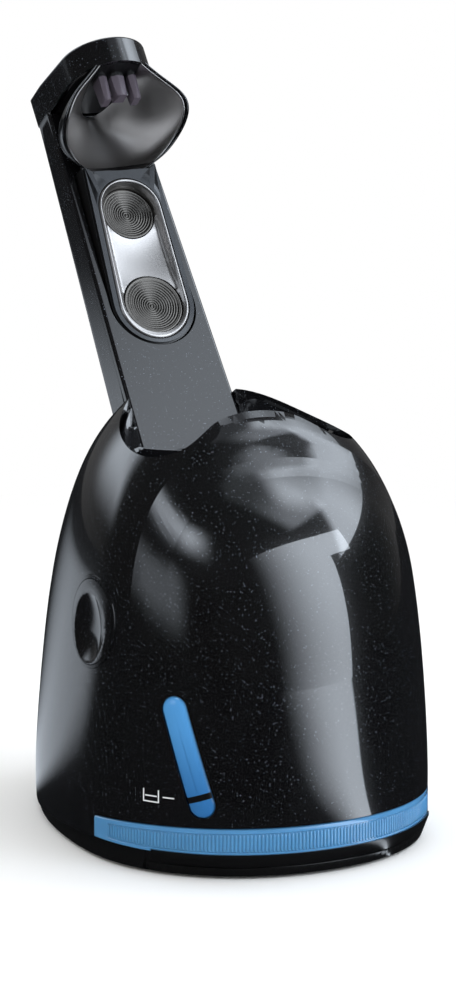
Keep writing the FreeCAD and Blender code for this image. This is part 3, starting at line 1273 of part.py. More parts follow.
def bladed_wheel(radius, low, height, hub):
    wheel = fuse(cylinder(hub, height, Vector(0, SHAFT_Y, low)), cylinder(radius, 1.0, Vector(0, SHAFT_Y, low)))
    for i in range(BLADES):
        blade = box(hub - 0.5, radius, SHAFT_Y - 0.5, SHAFT_Y + 0.5, low + 0.5, low + height)
        blade.rotate(Vector(0, SHAFT_Y, 0), Vector(0, 0, 1), 360 / BLADES * i)
        wheel = wheel.fuse(blade)
    return one_solid(wheel.removeSplitter().cut(cylinder(SHAFT_RADIUS, FAR, Vector(0, SHAFT_Y, 0))))


def pump_impeller():
    return bladed_wheel(IMPELLER_RADIUS, CHASSIS_TOP + PART_WALL + 1.0, PUMP_HEIGHT - PART_WALL - 2.0, 3.0)


def fan_wheel():
    return bladed_wheel(FAN_RADIUS, FAN_BOTTOM + GAP, FAN_HEIGHT, 3.0)


def motor_mount():
    plate = cylinder(PUMP_RADIUS, PART_WALL, Vector(0, SHAFT_Y, PUMP_TOP))
    return plate.cut(cylinder(SHAFT_RADIUS + FIT, FAR, Vector(0, SHAFT_Y, 0)))


def motor_can():
    can = cylinder(MOTOR_RADIUS, MOTOR_HEIGHT, Vector(0, SHAFT_Y, MOTOR_BOTTOM))
    inner = MOTOR_HEIGHT - 2 * PART_WALL
    can = can.cut(cylinder(MOTOR_RADIUS - PART_WALL, inner, Vector(0, SHAFT_Y, MOTOR_BOTTOM + PART_WALL)))
    return one_solid(can.cut(cylinder(SHAFT_RADIUS + FIT, FAR, Vector(0, SHAFT_Y, 0))))


def motor_armature():
    length = MOTOR_HEIGHT - 2 * PART_WALL - 4.0
    foot = Vector(0, SHAFT_Y, MOTOR_BOTTOM + PART_WALL + 2.0)
    return tube(MOTOR_RADIUS - PART_WALL - 1.0, SHAFT_RADIUS, length, foot)


def motor_shaft():
    low = CHASSIS_TOP + PART_WALL + GAP
    return cylinder(SHAFT_RADIUS, FAN_BOTTOM + FAN_HEIGHT + 1.0 - low, Vector(0, SHAFT_Y, low))


def fan_housing():
    height = FAN_BOTTOM + FAN_HEIGHT - MOTOR_TOP
    wall = tube(FAN_HOUSING_RADIUS, FAN_HOUSING_RADIUS - 1.2, height, Vector(0, SHAFT_Y, MOTOR_TOP))
    floor = tube(FAN_HOUSING_RADIUS, SHAFT_RADIUS + GAP, PART_WALL, Vector(0, SHAFT_Y, MOTOR_TOP))
    return fuse(wall, floor)


def spray_nozzle():
    """Nozzle through the bowl's rear wall, with its head inside the bowl."""
    stem = cylinder(HOSE_BORE, FEED_Y - NOZZLE_Y, Vector(-NIPPLE_X, NOZZLE_Y, FEED_Z), Vector(0, 1, 0))
    head = cylinder(HOSE_BORE + 1.2, 2.0, Vector(-NIPPLE_X, NOZZLE_Y, FEED_Z), Vector(0, 1, 0))
    nozzle = fuse(stem, head)
    return nozzle.cut(cylinder(HOSE_BORE - 1.0, FAR, Vector(-NIPPLE_X, 0, FEED_Z), Vector(0, 1, 0)))


def suction_hose():
    top = CHASSIS_TOP + PUMP_HEIGHT - 2.0
    high = top + NIPPLE_LENGTH + 10.0
    return route([(DIP_X, DIP_Y, CHASSIS_TOP + 2.5), (DIP_X, DIP_Y, high - 2.0),
                  (NIPPLE_X, NIPPLE_Y, high), (NIPPLE_X, NIPPLE_Y, top + 0.5)],
                 HOSE_BORE + 1.1, HOSE_BORE)


def feed_hose():
    top = CHASSIS_TOP + PUMP_HEIGHT - 2.0
    return route([(-NIPPLE_X, NIPPLE_Y, top + 0.5), (-NIPPLE_X, NIPPLE_Y, FEED_Z),
                  (-NIPPLE_X, FEED_Y - 4.0, FEED_Z)],
                 HOSE_BORE + 1.1, HOSE_BORE)


# ---- electrics ----------------------------------------------------------------------------------

def board_stands():
    w, d, t = BOARD_SIZE
    x, y = w / 2 - BOARD_SCREW_INSET, d / 2 - BOARD_SCREW_INSET
    return [(sx * x, BOARD_Y + sy * y) for sx in (-1, 1) for sy in (-1, 1)]


def main_board():
    w, d, t = BOARD_SIZE
    low = CHASSIS_TOP + BOARD_STAND
    board = box(-w / 2, w / 2, BOARD_Y - d / 2, BOARD_Y + d / 2, low, low + t)
    for x, y in board_stands():
        board = board.cut(cylinder(1.0, FAR, Vector(x, y, 0)))
    return board


def board_components():
    """Transformer, relay, two capacitors and the two plug-in connectors."""
    w, d, t = BOARD_SIZE
    low = CHASSIS_TOP + BOARD_STAND + t
    pieces = [box(-0.32 * w, -0.11 * w, BOARD_Y - 0.27 * d, BOARD_Y + 0.2 * d, low, low + 13.0)]
    pieces.append(box(0.05 * w, 0.18 * w, BOARD_Y - 0.2 * d, BOARD_Y + 0.13 * d, low, low + 9.0))
    for y in (-0.3, 0.03):
        pieces.append(cylinder(0.05 * w, 11.0, Vector(0.29 * w, BOARD_Y + y * d, low)))
    for x in (-LEAD_X, LEAD_X):
        half = CONNECTOR_WIDTH / 2
        pieces.append(box(x - half, x + half, BOARD_Y + d / 4, BOARD_Y + d / 2, low, low + 6.5))
    return Part.makeCompound(pieces)


def power_socket():
    outer = socket_box(0.0).common(form_solid(inset_rows(-0.2, 0.0)))
    w, h, d = SOCKET_SIZE
    rear = form_at(SOCKET_Z)[2]
    t = SOCKET_WALL
    mouth = box(-w / 2 + t, w / 2 - t, rear - d + t, rear + 6.0, SOCKET_Z - h / 2 + t, SOCKET_Z + h / 2 - t)
    return one_solid(outer.cut(mouth))


def socket_pins():
    d = SOCKET_SIZE[2]
    rear = form_at(SOCKET_Z)[2]
    start = rear - d + SOCKET_WALL
    length = d - 2 * SOCKET_WALL
    return Part.makeCompound([cylinder(SOCKET_PIN_RADIUS, length, Vector(x, start, SOCKET_Z), Vector(0, 1, 0))
                              for x in (-SOCKET_PIN_X, SOCKET_PIN_X)])


def lead_low_y():
    return BOARD_Y + BOARD_SIZE[1] / 2


def mains_lead():
    start = form_at(SOCKET_Z)[2] - SOCKET_SIZE[2]
    z = CHASSIS_TOP + BOARD_STAND + BOARD_SIZE[2] + 3.5
    return route([(0.0, start, SOCKET_Z), (0.0, start - 9.0, SOCKET_Z), (MAINS_HOLE_X, MAINS_HOLE_Y, 52.0),
                  (MAINS_HOLE_X, MAINS_HOLE_Y, z), (LEAD_X, 40.0, z), (LEAD_X, lead_low_y(), z)], LEAD_RADIUS)


def tower_lead():
    z = CHASSIS_TOP + BOARD_STAND + BOARD_SIZE[2] + 3.5
    return route([(-LEAD_X, lead_low_y(), z), (-LEAD_X, 24.0, z), (-16.0, 44.0, z + 14.0), (-13.0, 47.5, 124.0),
                  (-9.0, 73.0, 161.0)], LEAD_RADIUS)


MAKERS = (
    base_plate,
    rubber_feet,
    guide_posts,
    lift_springs,
    latch_catch,
    base_screws,
    cartridge_grip,
    cartridge_tub,
    cartridge_lid,
    cartridge_seals,
    cartridge_filter,
    wash_bowl,
    tower_rear,
    tower_front,
    cap,
    hood_shell,
    hood_liner,
    plug_block,
    plug_contacts,
    panel_carrier,
    panel_skin,
    button_bezel,
    panel_board,
    panel_switches,
    window_lens,
    min_mark,
    level_symbol,
    lift_button,
    lift_button_ring,
    latch_lever,
    latch_pin,
    drain_pipe,
    dip_pipe,
    pump_housing,
    pump_impeller,
    fan_wheel,
    motor_mount,
    motor_can,
    motor_armature,
    motor_shaft,
    fan_housing,
    spray_nozzle,
    suction_hose,
    feed_hose,
    chassis_screws,
    main_board,
    board_components,
    power_socket,
    socket_pins,
    mains_lead,
    tower_lead,
)


def make_parts():
    inside = form_solid(inset_rows(WALL))
    shell = housing_shell(outer_form(), inside)
    parts["dome_shell"] = dome_shell(shell)
    parts["rear_cover"] = rear_cover(shell)
    parts["chassis"] = chassis(inside)
    parts["start_button"] = push_button(START_RADIUS, START_S - FAST_S)
    parts["fast_clean_button"] = push_button(FAST_RADIUS, 0.0)
    for maker in MAKERS:
        parts[maker.__name__] = maker()


def write_parts():
    os.makedirs("parts", exist_ok=True)
    span = Part.makeCompound(list(parts.values())).BoundBox
    middle = (span.YMin + span.YMax) / 2
    for name, shape in parts.items():
        shape.translate(Vector(0, -middle, 0))
        shape.exportStep("parts/" + name + ".step")
        print(name, len(shape.Solids), shape.isValid(), round(shape.Volume))
    print("origin is at Y", round(middle, 3), "of the layout")


make_parts()
write_parts()
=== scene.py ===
"""Dresses the shaver cleaning station: finer glossy pieces, a finish for every piece, and a studio."""

import json
import math

import bmesh
import bpy
import numpy as np
from mathutils import Matrix, Vector
from mathutils.geometry import delaunay_2d_cdt


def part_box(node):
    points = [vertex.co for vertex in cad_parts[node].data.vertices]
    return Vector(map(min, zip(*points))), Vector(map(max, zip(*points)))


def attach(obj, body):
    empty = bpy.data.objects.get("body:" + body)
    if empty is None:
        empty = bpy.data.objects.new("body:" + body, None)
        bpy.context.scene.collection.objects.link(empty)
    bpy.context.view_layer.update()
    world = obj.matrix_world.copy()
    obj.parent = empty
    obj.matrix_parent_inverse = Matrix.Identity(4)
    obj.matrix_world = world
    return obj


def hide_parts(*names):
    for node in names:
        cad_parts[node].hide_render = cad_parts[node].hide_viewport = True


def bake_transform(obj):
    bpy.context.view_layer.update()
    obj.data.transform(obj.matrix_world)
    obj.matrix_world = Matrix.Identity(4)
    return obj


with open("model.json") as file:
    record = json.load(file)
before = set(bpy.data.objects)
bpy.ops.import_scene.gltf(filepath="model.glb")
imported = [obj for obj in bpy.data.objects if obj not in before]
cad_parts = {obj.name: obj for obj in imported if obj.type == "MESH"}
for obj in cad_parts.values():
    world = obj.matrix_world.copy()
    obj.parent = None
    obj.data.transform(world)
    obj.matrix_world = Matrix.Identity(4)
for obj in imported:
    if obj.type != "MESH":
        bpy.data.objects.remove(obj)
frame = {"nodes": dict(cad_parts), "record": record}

bl_info = {
    "name": "Shaver cleaning station",
    "version": (1, 0, 0),
    "blender": (4, 5, 0),
    "location": "View3D > Sidebar > Station",
    "description": "Builds the visible pieces and finishes of a shaver cleaning station",
    "category": "Object",
}

MM = 0.001
MERGE = 0.002             # points this near are one, mm
SLIVER = 0.001            # and edges this short are none
FOOT_FRONT = -40.0        # front of the front feet, in the housing's own layout, mm
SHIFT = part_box("rubber_feet")[0][1] / MM - FOOT_FRONT

# Outer form of the housing: height, half width, front, rear, widest, in mm.
FORM = np.array((
    (3.0, 66.0, -64.8, 109.5, 0.0),
    (22.0, 66.2, -66.6, 109.2, 0.0),
    (45.0, 65.0, -67.0, 106.6, 0.0),
    (75.0, 62.9, -65.0, 100.8, 0.0),
    (105.0, 59.4, -57.0, 91.0, 0.0),
    (130.0, 51.6, -39.8, 82.0, 1.0),
    (146.0, 41.8, -22.5, 71.5, 6.0),
    (155.0, 31.5, -12.0, 63.5, 12.0),
    (162.0, 16.0, 3.0, 52.0, 20.0),
))
DROP = np.array((0.0, 0.0, 0.0, 0.0, 0.3, 1.6, 6.5, 11.0, 13.0))
NARROWING = np.array((0.0, 0.0, 0.0, 0.5, 1.6, 2.2, 2.6, 2.6, 2.6))
EXPONENT = 2.1
OUTER_ARCH = -20.45       # where the sloping planes of the two arches stand at ARCH_Z
MIDDLE_ARCH = -25.99
INNER_ARCH = -31.54
ARCH_Z = 120.0
ARCH_SLOPE = math.tan(math.radians(7.0))

# Tower's own frame: across, back, along.
LEAN = math.radians(37.7)
FOOT_Y = 48.8
FOOT_Z = 149.0
FAST_S = 44.8
START_S = 83.3
FAST_RADIUS = 11.7
START_RADIUS = 10.4
BUTTON_TILT = math.radians(2.9)
BUTTON_RISE = 0.6
BUTTON_DISH = 1.5
BUTTON_THICKNESS = 2.6
BUTTON_GAP = 0.3
BEZEL_RIM = 2.6
BEZEL_DEEP = 3.3
BEZEL_TOP = 1.35          # the bezel's bead over the lower button's face, and its slope
BEZEL_SLOPE = 0.0597
BEZEL_HOLLOW = 1.3        # dish between the buttons
BEAD_EDGE = 0.9           # width of the bead's rounded edge, how far it drops, and its power
BEAD_DROP = 0.75
BEAD_POWER = 2.2
BEAD_FALL = 2.3           # from the bead's edge down to the trough
BEAD_INSETS = (0.0, 0.12, 0.3, 0.55, 0.85, 1.1, 1.35, 1.6, 1.85, 2.1)    # rings of points over the bead
BEZEL_GRID = 0.66         # spacing of the points inside them, and the half width that they cover
BEZEL_HALF = 13.2
TROUGH_FLOOR = 0.25       # trough's floor beside its dish, and the dish's reach across and along
TROUGH_ACROSS = 13.5
TROUGH_ALONG = 11.5
DISC_RIM = 1.0            # flat rim of the turned discs
DISC_SEGMENTS = 144
STEM_RADIUS = 2.0         # stem below a button, and where it ends
STEM_END = -4.0
MAP_UNIT = 12.0           # length of one unit of the turned discs' map, outwards

HOOD_CENTRE = 25.0
HOOD_SECTIONS = np.array((
    (99.6, 14.5, 3.2), (103.0, 19.5, 0.2), (107.0, 22.6, -2.6), (112.5, 23.6, -4.6),
    (117.5, 21.8, -5.0), (122.0, 18.2, -5.0), (126.5, 13.2, -5.0), (131.5, 7.8, -5.0),
))
LINER_SECTIONS = np.array((
    (99.8, 14.5, 3.0), (101.2, 17.4, -0.8), (103.5, 20.2, -3.0), (107.0, 22.6, -4.2), (112.5, 23.6, -4.9),
    (117.5, 21.8, -5.0), (122.0, 18.2, -5.0), (126.5, 13.2, -5.0), (131.5, 7.8, -5.0),
))
HOOD_MOUTH = np.array((
    (99.0, 3.8), (101.4, 5.2), (104.0, 8.6), (108.4, 15.2), (112.8, 25.0), (121.0, 30.2), (131.6, 32.6),
))
HOOD_TOP = 130.85
HOOD_BLACK = (2.3, 1.4)   # outer and inner skin of the black bell, grown from the sections
HOOD_BRIGHT = (0.9, 0.0)  # and of its lining, whose mouth stands back by 0.6
LINING_BACK = -0.6
EDGE_POINTS = 5           # points round the hood's mouth edge, between its two skins
PLUG_PLATE_S = 129.2

WINDOW_ANGLE = math.radians(44.0)
WINDOW_TILT = math.radians(17.5)
WINDOW_Z = 44.0
WINDOW_RADIUS = 4.65
WINDOW_STRAIGHT = 17.55    # from the window's middle to the middle of its round end
LENS_RISE = 1.4
LENS_SINK = 0.9            # rim of the lens below the housing's skin
MARK_TOP = -13.6
MARK_BOTTOM = -15.8
LENS_SKIRT = -2.2          # skirt's foot, below the housing's skin

STRIP_Z = 12.0             # height at which the strip takes the form's outline
STRIP_BOTTOM = 8.7
STRIP_EDGE = np.array(((-70.0, 19.1), (-40.0, 18.4), (-11.0, 16.5)))   # top edge: back, height
STRIP_END = -11.3
STRIP_PROUD = 0.3
STRIP_THICKNESS = 3.4
RIBS_END = -18.5
RIB_FOOT = 1.5             # smooth band below the ribs
RIB_HEAD = 2.0             # and above them
RIB_SHARE = 0.78           # a rib's width in its pitch

# Finishes, as shares of their cell or grain.
CLOUD_SHARE = 0.12         # a grain's spacing in that of the clouds of tone over it
FLAKE_SHARE = 0.16         # cells that hold a flake
FLAKE_LEAST = 0.11         # a flake's least radius, in cells, and how much more it may have
FLAKE_MORE = 0.14
FLAKE_LIGHT = 0.2          # least brightness of a flake, and how metallic it is
FLAKE_METAL = 0.3
WINDOW_FADE = (24.0, 62.0)     # heights between which the window's blue gets lighter

# Studio, in metres. Bearings run from the front to the right.
WHITE = (1.0, 1.0, 1.0, 1.0)
ROOM_TINT = (1.0, 0.985, 0.96, 1.0)
ROOM_LIGHT = 0.95
MIRROR_WAY = (0.44, 0.88, 0.0)     # glossy pieces see a dark room, a little lighter this way
MIRROR_LIGHT = (0.012, 0.12)
FLOOR_HALF = 12.0
FLOOR_GONE = (0.12, 0.6)           # distances between which the table turns into the white surroundings
FLOOR_DARK = 0.012                 # what glossy pieces see of the table outside its pools
LAMP_TINT = (0.82, 0.9, 1.0, 1.0)
LAMP_GAIN = 1.1
LAMP_TARGET = (0.0, 0.0, 0.11)
LAMP_SLANT = 0.45                  # slope of a fade that runs across a lamp's corner
NOTCH = (0.74, 0.75)               # corner cut from the key light's lower right, in shares of its size
KEY_SOFT = (math.radians(-8), math.radians(30))      # bearings of the key light's two edges
KEY_HARD = (math.radians(40), math.radians(42))
KEY_FOOT = 3.3                     # brightness where the key light meets the table
KEY_WAY = (0.4226, -0.9063)        # unit vector to the key light's foot
POOL_FROM = (0.03, -0.095)         # the key light's pool spreads from here and ends under its foot
POOL_END = 1.345
SIDE_SOFT = (math.radians(-186), math.radians(-160))     # bearings of the second pool's two edges
SIDE_HARD = (math.radians(-146), math.radians(-128))
SIDE_LIGHT = 0.66                  # its brightness, and the distances over which it fades
SIDE_GONE = (0.85, 1.7)
ACROSS, UP, NOTCHED, SLANTED = range(4)    # ways over a lamp's face in which its light can fade
EYE_AZIMUTH = -26.77               # the camera's bearing and height over the table, in degrees
EYE_ELEVATION = 11.02
EYE_DISTANCE = 1.5
EYE_TARGET = 0.13                  # height that the camera turns about
EYE_LENS = 4.1515                  # focal length over the sensor's width
EYE_SENSOR = 36.0
EYE_SHIFT = (-0.01625, -0.0178)


# ---- sizes and colours --------------------------------------------------------------------------

def linear(colour):
    """sRGB hex to linear RGB."""
    parts = [int(colour[i:i + 2], 16) / 255 for i in (1, 3, 5)]
    return [c / 12.92 if c <= 0.04045 else ((c + 0.055) / 1.055) ** 2.4 for c in parts]


def colour(name, description, default):
    return bpy.props.FloatVectorProperty(name=name, description=description, subtype="COLOR", size=3,
                                         min=0.0, max=1.0, default=linear(default))


def length(name, description, default):
    return bpy.props.FloatProperty(name=name, description=description, unit="LENGTH", subtype="DISTANCE",
                                   min=0.0, precision=5, default=default * MM)


class StationColours(bpy.types.PropertyGroup):
    housing: colour("Housing", "Moulded gloss ABS of the housing, tower and cap", "#0a0a0c")
    flake: colour("Flake", "Metal flake in the housing's plastic", "#aab4c4")
    cartridge: colour("Cartridge", "Tinted translucent plastic of the cartridge", "#5088b6")
    floor: colour("Floor", "Table top of the studio", "#f8f8f7")


class StationSizes(bpy.types.PropertyGroup):
    flake: length("Flake", "Spacing of the flakes in the plastic", 0.5)
    rib_pitch: length("Rib pitch", "Distance between the ribs of the grip strip", 1.35)
    rib_depth: length("Rib depth", "How far the ribs stand out of the grip strip", 0.42)
    ring_pitch: length("Ring pitch", "Distance between the turned rings of the buttons", 0.92)
    ring_depth: length("Ring depth", "Depth of the turned rings", 0.15)


# ---- materials ----------------------------------------------------------------------------------

def add(tree, kind, settings=None, values=None, links=None):
    """One node with its own settings, its sockets' values and what feeds them: sockets or whole nodes."""
    made = tree.nodes.new(kind)
    for name, value in (settings or {}).items():
        setattr(made, name, value)
    for name, value in (values or {}).items():
        made.inputs[name].default_value = value
    for name, source in (links or {}).items():
        socket = source.outputs[0] if isinstance(source, bpy.types.Node) else source
        tree.links.new(socket, made.inputs[name])
    return made


def surface(name, base, roughness, **values):
    """Material with a Principled shader, with its tree, its shader and the object's coordinates."""
    material = bpy.data.materials.new(name)
    material.use_nodes = True
    tree = material.node_tree
    tree.nodes.clear()
    settings = {"Base Color": (*base, 1.0), "Roughness": roughness}
    settings.update({key.replace("_", " "): value for key, value in values.items()})
    shader = add(tree, "ShaderNodeBsdfPrincipled", values=settings)
    add(tree, "ShaderNodeOutputMaterial", links={0: shader})
    coords = add(tree, "ShaderNodeTexCoord").outputs["Object"]
    return material, tree, shader, coords


def mix(tree, factor, a, b):
    """Mix of two linear colours."""
    made = add(tree, "ShaderNodeMix", {"data_type": "RGBA"}, {6: (*a, 1.0), 7: (*b, 1.0)}, {0: factor})
    return made.outputs[2]


def calc(tree, operation, *values, clamp=False):
    """Math node over numbers and sockets; three or more values go through a chain of nodes."""
    if len(values) > 2:
        values = (calc(tree, operation, *values[:-1]), values[-1])
    made = add(tree, "ShaderNodeMath", {"operation": operation, "use_clamp": clamp})
    for slot, value in enumerate(values):
        if isinstance(value, bpy.types.NodeSocket):
            tree.links.new(value, made.inputs[slot])
        else:
            made.inputs[slot].default_value = value
    return made.outputs[0]


def vector(tree, operation, values=None, links=None, output=0):
    """Vector math node."""
    return add(tree, "ShaderNodeVectorMath", {"operation": operation}, values, links).outputs[output]


def ramp(tree, source, low, high, first, last):
    """Smooth step of a value from one range to another."""
    made = add(tree, "ShaderNodeMapRange", {"interpolation_type": "SMOOTHSTEP"},
               {"From Min": low, "From Max": high, "To Min": first, "To Max": last}, {"Value": source})
    return made.outputs[0]


def noise(tree, coords, spacing, detail):
    """Noise with its features spacing mm apart."""
    values = {"Scale": 1 / (spacing * MM), "Detail": detail}
    return add(tree, "ShaderNodeTexNoise", values=values, links={"Vector": coords}).outputs["Fac"]


def bump(tree, shader, height, depth):
    """Bump of a height field, depth mm deep, in the shader's normal."""
    values = {"Strength": 1.0, "Distance": depth * MM}
    made = add(tree, "ShaderNodeBump", values=values, links={"Height": height})
    tree.links.new(made.outputs[0], shader.inputs["Normal"])


def tone(tree, shader, factor, a, b):
    """Base colour between two linear colours."""
    tree.links.new(mix(tree, factor, a, b), shader.inputs["Base Color"])


def texture_skin(tree, shader, coords, grain, depth, shade=0.12, base=None):
    """Fine uneven skin that moulded and cast surfaces have: grain and depth in mm."""
    bump(tree, shader, noise(tree, coords, grain, 3.0), depth)
    if base is not None:
        darker = [c * (1 - shade) for c in base]
        lighter = [min(1.0, c * (1 + shade)) for c in base]
        tone(tree, shader, noise(tree, coords, grain / CLOUD_SHARE, 2.0), darker, lighter)


def flaked_abs(name, base, flake, cell):
    """Moulded high-gloss ABS with aluminium flake: near-black depth, mirror skin, fine silver points."""
    material, tree, shader, coords = surface(name, base, 0.25, Coat_Weight=1.0, Coat_Roughness=0.03,
                                             Coat_IOR=1.9, Specular_IOR_Level=0.3)
    cells = add(tree, "ShaderNodeTexVoronoi", values={"Scale": 1 / cell}, links={"Vector": coords}).outputs
    draws = add(tree, "ShaderNodeSeparateColor", links={0: cells["Color"]}).outputs
    chosen = calc(tree, "GREATER_THAN", draws[0], 1 - FLAKE_SHARE)
    reach = calc(tree, "ADD", calc(tree, "MULTIPLY", draws[1], FLAKE_MORE), FLAKE_LEAST)
    mask = calc(tree, "MULTIPLY", chosen, calc(tree, "LESS_THAN", cells["Distance"], reach))
    bright = calc(tree, "MULTIPLY", mask, calc(tree, "ADD", draws[2], FLAKE_LIGHT), clamp=True)
    tone(tree, shader, bright, base, flake)
    tree.links.new(calc(tree, "MULTIPLY", mask, FLAKE_METAL), shader.inputs["Metallic"])
    # each flake lies at an angle of its own
    centred = vector(tree, "SUBTRACT", {1: (0.5, 0.5, 0.5)}, {0: cells["Color"]})
    tipped = vector(tree, "SCALE", links={0: centred, "Scale": mask})
    normal = add(tree, "ShaderNodeNewGeometry").outputs["Normal"]
    leaned = vector(tree, "ADD", links={0: tipped, 1: normal})
    tree.links.new(vector(tree, "NORMALIZE", links={0: leaned}), shader.inputs["Normal"])
    return material


def moulded(name, hex_colour, roughness, grain=0.35, depth=0.012, **values):
    """Plain injection-moulded plastic or rubber with the fine grain of its tool."""
    base = linear(hex_colour)
    material, tree, shader, coords = surface(name, base, roughness, **values)
    texture_skin(tree, shader, coords, grain, depth, base=base)
    return material


def bare_metal(name, hex_colour, roughness, grain=0.5, depth=0.003):
    base = linear(hex_colour)
    material, tree, shader, coords = surface(name, base, roughness, Metallic=1.0)
    texture_skin(tree, shader, coords, grain, depth, shade=0.05, base=base)
    return material


def chrome_plate(name, hex_colour, roughness):
    """Bright plating on moulded ABS: mirror with the faint unevenness of the part below it."""
    material, tree, shader, coords = surface(name, linear(hex_colour), roughness, Metallic=1.0)
    bump(tree, shader, noise(tree, coords, 14.0, 1.0), 0.03)
    return material


def turned_metal(name, hex_colour, roughness, anisotropy):
    """Diamond-turned aluminium: the tool's fine circles spread light into two opposite fans."""
    base = linear(hex_colour)
    material, tree, shader, _ = surface(name, base, roughness, Metallic=1.0, Anisotropic=anisotropy)
    tangent = add(tree, "ShaderNodeTangent", {"direction_type": "UV_MAP", "uv_map": "turning"})
    tree.links.new(tangent.outputs[0], shader.inputs["Tangent"])
    around = add(tree, "ShaderNodeUVMap", {"uv_map": "turning"}).outputs[0]
    # the tool's marks are far finer than a pixel, so these are wider: 80 of them in the map's unit
    stretch = add(tree, "ShaderNodeMapping", values={"Scale": (2.0, 80.0, 1.0)}, links={0: around})
    marks = add(tree, "ShaderNodeTexNoise", {"noise_dimensions": "2D"}, {"Scale": 1.0, "Detail": 2.0},
                {"Vector": stretch})
    tone(tree, shader, marks.outputs["Fac"], [c * 0.82 for c in base], base)
    return material


def tinted_plastic(name, base, roughness, transmission, subsurface):
    """Moulded translucent plastic: clear saturated tint, soft depth and a wet skin."""
    material, tree, shader, coords = surface(
        name, base, roughness, Transmission_Weight=transmission, IOR=1.49, Coat_Weight=1.0,
        Coat_Roughness=0.05, Subsurface_Weight=subsurface, Subsurface_Radius=(0.3, 0.7, 1.0),
        Subsurface_Scale=2.0 * MM)
    darker, lighter = [c * 0.86 for c in base], [min(1, c * 1.1) for c in base]
    tone(tree, shader, noise(tree, coords, 9.0, 2.0), darker, lighter)
    return material


def window_plastic(name, hex_low, hex_high):
    """Tinted lens over the fluid: clear blue, darker towards the bottom."""
    material, tree, shader, coords = surface(name, linear(hex_high), 0.05, Coat_Weight=1.0,
                                             Coat_Roughness=0.02, Coat_IOR=1.8, Specular_IOR_Level=0.6)
    height = add(tree, "ShaderNodeSeparateXYZ", links={0: coords}).outputs[2]
    low, high = (z * MM for z in WINDOW_FADE)
    tone(tree, shader, ramp(tree, height, low, high, 0.0, 1.0), linear(hex_low), linear(hex_high))
    return material


def plug_nylon(name, hex_finger, hex_cap_shade):
    """Moulded nylon: matt violet-grey fingers, with painted shade, near-black, on the plug's top under the
    cap.
    """
    material, tree, shader, coords = surface(name, linear(hex_finger), 0.42)
    texture_skin(tree, shader, coords, 0.25, 0.012)
    foot = (0.0, (FOOT_Y + SHIFT) * MM, FOOT_Z * MM)
    local = vector(tree, "SUBTRACT", {1: foot}, {0: coords})
    along = vector(tree, "DOT_PRODUCT", {1: (0.0, math.sin(LEAN), math.cos(LEAN))}, {0: local}, "Value")
    # painted shade: the plug's top under the cap darkened to near-black
    under_cap_shade = calc(tree, "GREATER_THAN", along, PLUG_PLATE_S * MM)
    tone(tree, shader, under_cap_shade, linear(hex_finger), linear(hex_cap_shade))
    return material


def make_materials():
    """One finish for each of the part's material slots."""
    tint = bpy.context.scene.station_colours
    size = bpy.context.scene.station_sizes
    flake = list(tint.flake)
    return {
        "housing_black": flaked_abs("moulded_gloss_abs_flake", list(tint.housing), flake, size.flake),
        # base: plain black ABS with a low sheen
        "base_black": moulded("moulded_satin_abs", "#0d0d0e", 0.28, 0.5, 0.006, Coat_Weight=0.35),
        # inside parts: unpolished black ABS, dull
        "inner_black": moulded("moulded_plain_abs", "#121214", 0.5),
        "cartridge_blue": tinted_plastic("moulded_tinted_polypropylene", list(tint.cartridge), 0.16,
                                         transmission=0.0, subsurface=0.25),
        "window_blue": window_plastic("moulded_tinted_polycarbonate", "#2f68a0", "#4f92cc"),
        # panel: metallic lacquer on moulded plastic, dark silver
        "gunmetal": moulded("lacquered_gunmetal", "#2b2d30", 0.32, 0.25, 0.002, Metallic=0.8, Coat_Weight=1.0,
                            Coat_Roughness=0.06),
        "satin_chrome": chrome_plate("satin_chrome_plated_abs", "#b8b5b3", 0.33),
        "button_metal": turned_metal("turned_aluminium", "#66635f", 0.24, 0.8),
        "steel": bare_metal("zinc_plated_steel", "#b3b6b8", 0.3),
        "brass": bare_metal("drawn_brass", "#c9a24a", 0.25),
        # feet: soft black rubber, matt
        "rubber": moulded("moulded_rubber", "#17171a", 0.8, 0.3, 0.03),
        # printed marks: pad-printed ink, flat and slightly rough at its edge
        "white_print": moulded("pad_printed_white_ink", "#d9dbdc", 0.45, 0.2, 0.002),
        "black_print": moulded("pad_printed_black_ink", "#0b0b0e", 0.3, 0.2, 0.002),
        # plug: glass-filled nylon, dark grey with a violet cast, matt; near-black painted shade on its top
        # under the cap
        "plug_grey": plug_nylon("moulded_glass_filled_nylon", "#4d4650", "#0c0c0e"),
        "bowl_grey": flaked_abs("moulded_gloss_abs_bowl", linear("#131417"), flake, size.flake),
        "nylon": moulded("moulded_natural_nylon", "#cfcabb", 0.5),
        "board_green": moulded("glass_epoxy_board", "#1f5a38", 0.4, 0.4, 0.006),
        # filter: needled felt, pale, fibrous
        "filter_felt": moulded("needled_felt", "#c9ccca", 0.95, 0.6, 0.15, Sheen_Weight=0.3),
        "clear_hose": moulded("extruded_silicone_hose", "#c8d2d6", 0.25, 1.0, 0.004, Transmission_Weight=0.5),
    }


# ---- meshes -------------------------------------------------------------------------------------

MATERIALS = {}
SLOT_OF = {row["node"]: row["material_slot"] for row in frame["record"]["subparts"]}
POLISHED = {                               # bodies and their nodes that only need clean shading
    "housing": ("tower_front", "tower_rear", "cap", "plug_block", "wash_bowl", "panel_skin",
                "panel_carrier", "lift_button_ring"),
    "lift_button": ("lift_button",),
    "base": ("base_plate", "cartridge_tub"),
}


def place(x, y, z):
    """A layout point in mm to the frame in metres."""
    return np.stack((np.asarray(x) * MM, (np.asarray(y) + SHIFT) * MM, np.asarray(z) * MM), axis=-1)


def tower_matrix():
    lean = Matrix.Rotation(-LEAN, 4, "X")
    return Matrix.Translation((0, (FOOT_Y + SHIFT) * MM, FOOT_Z * MM)) @ lean


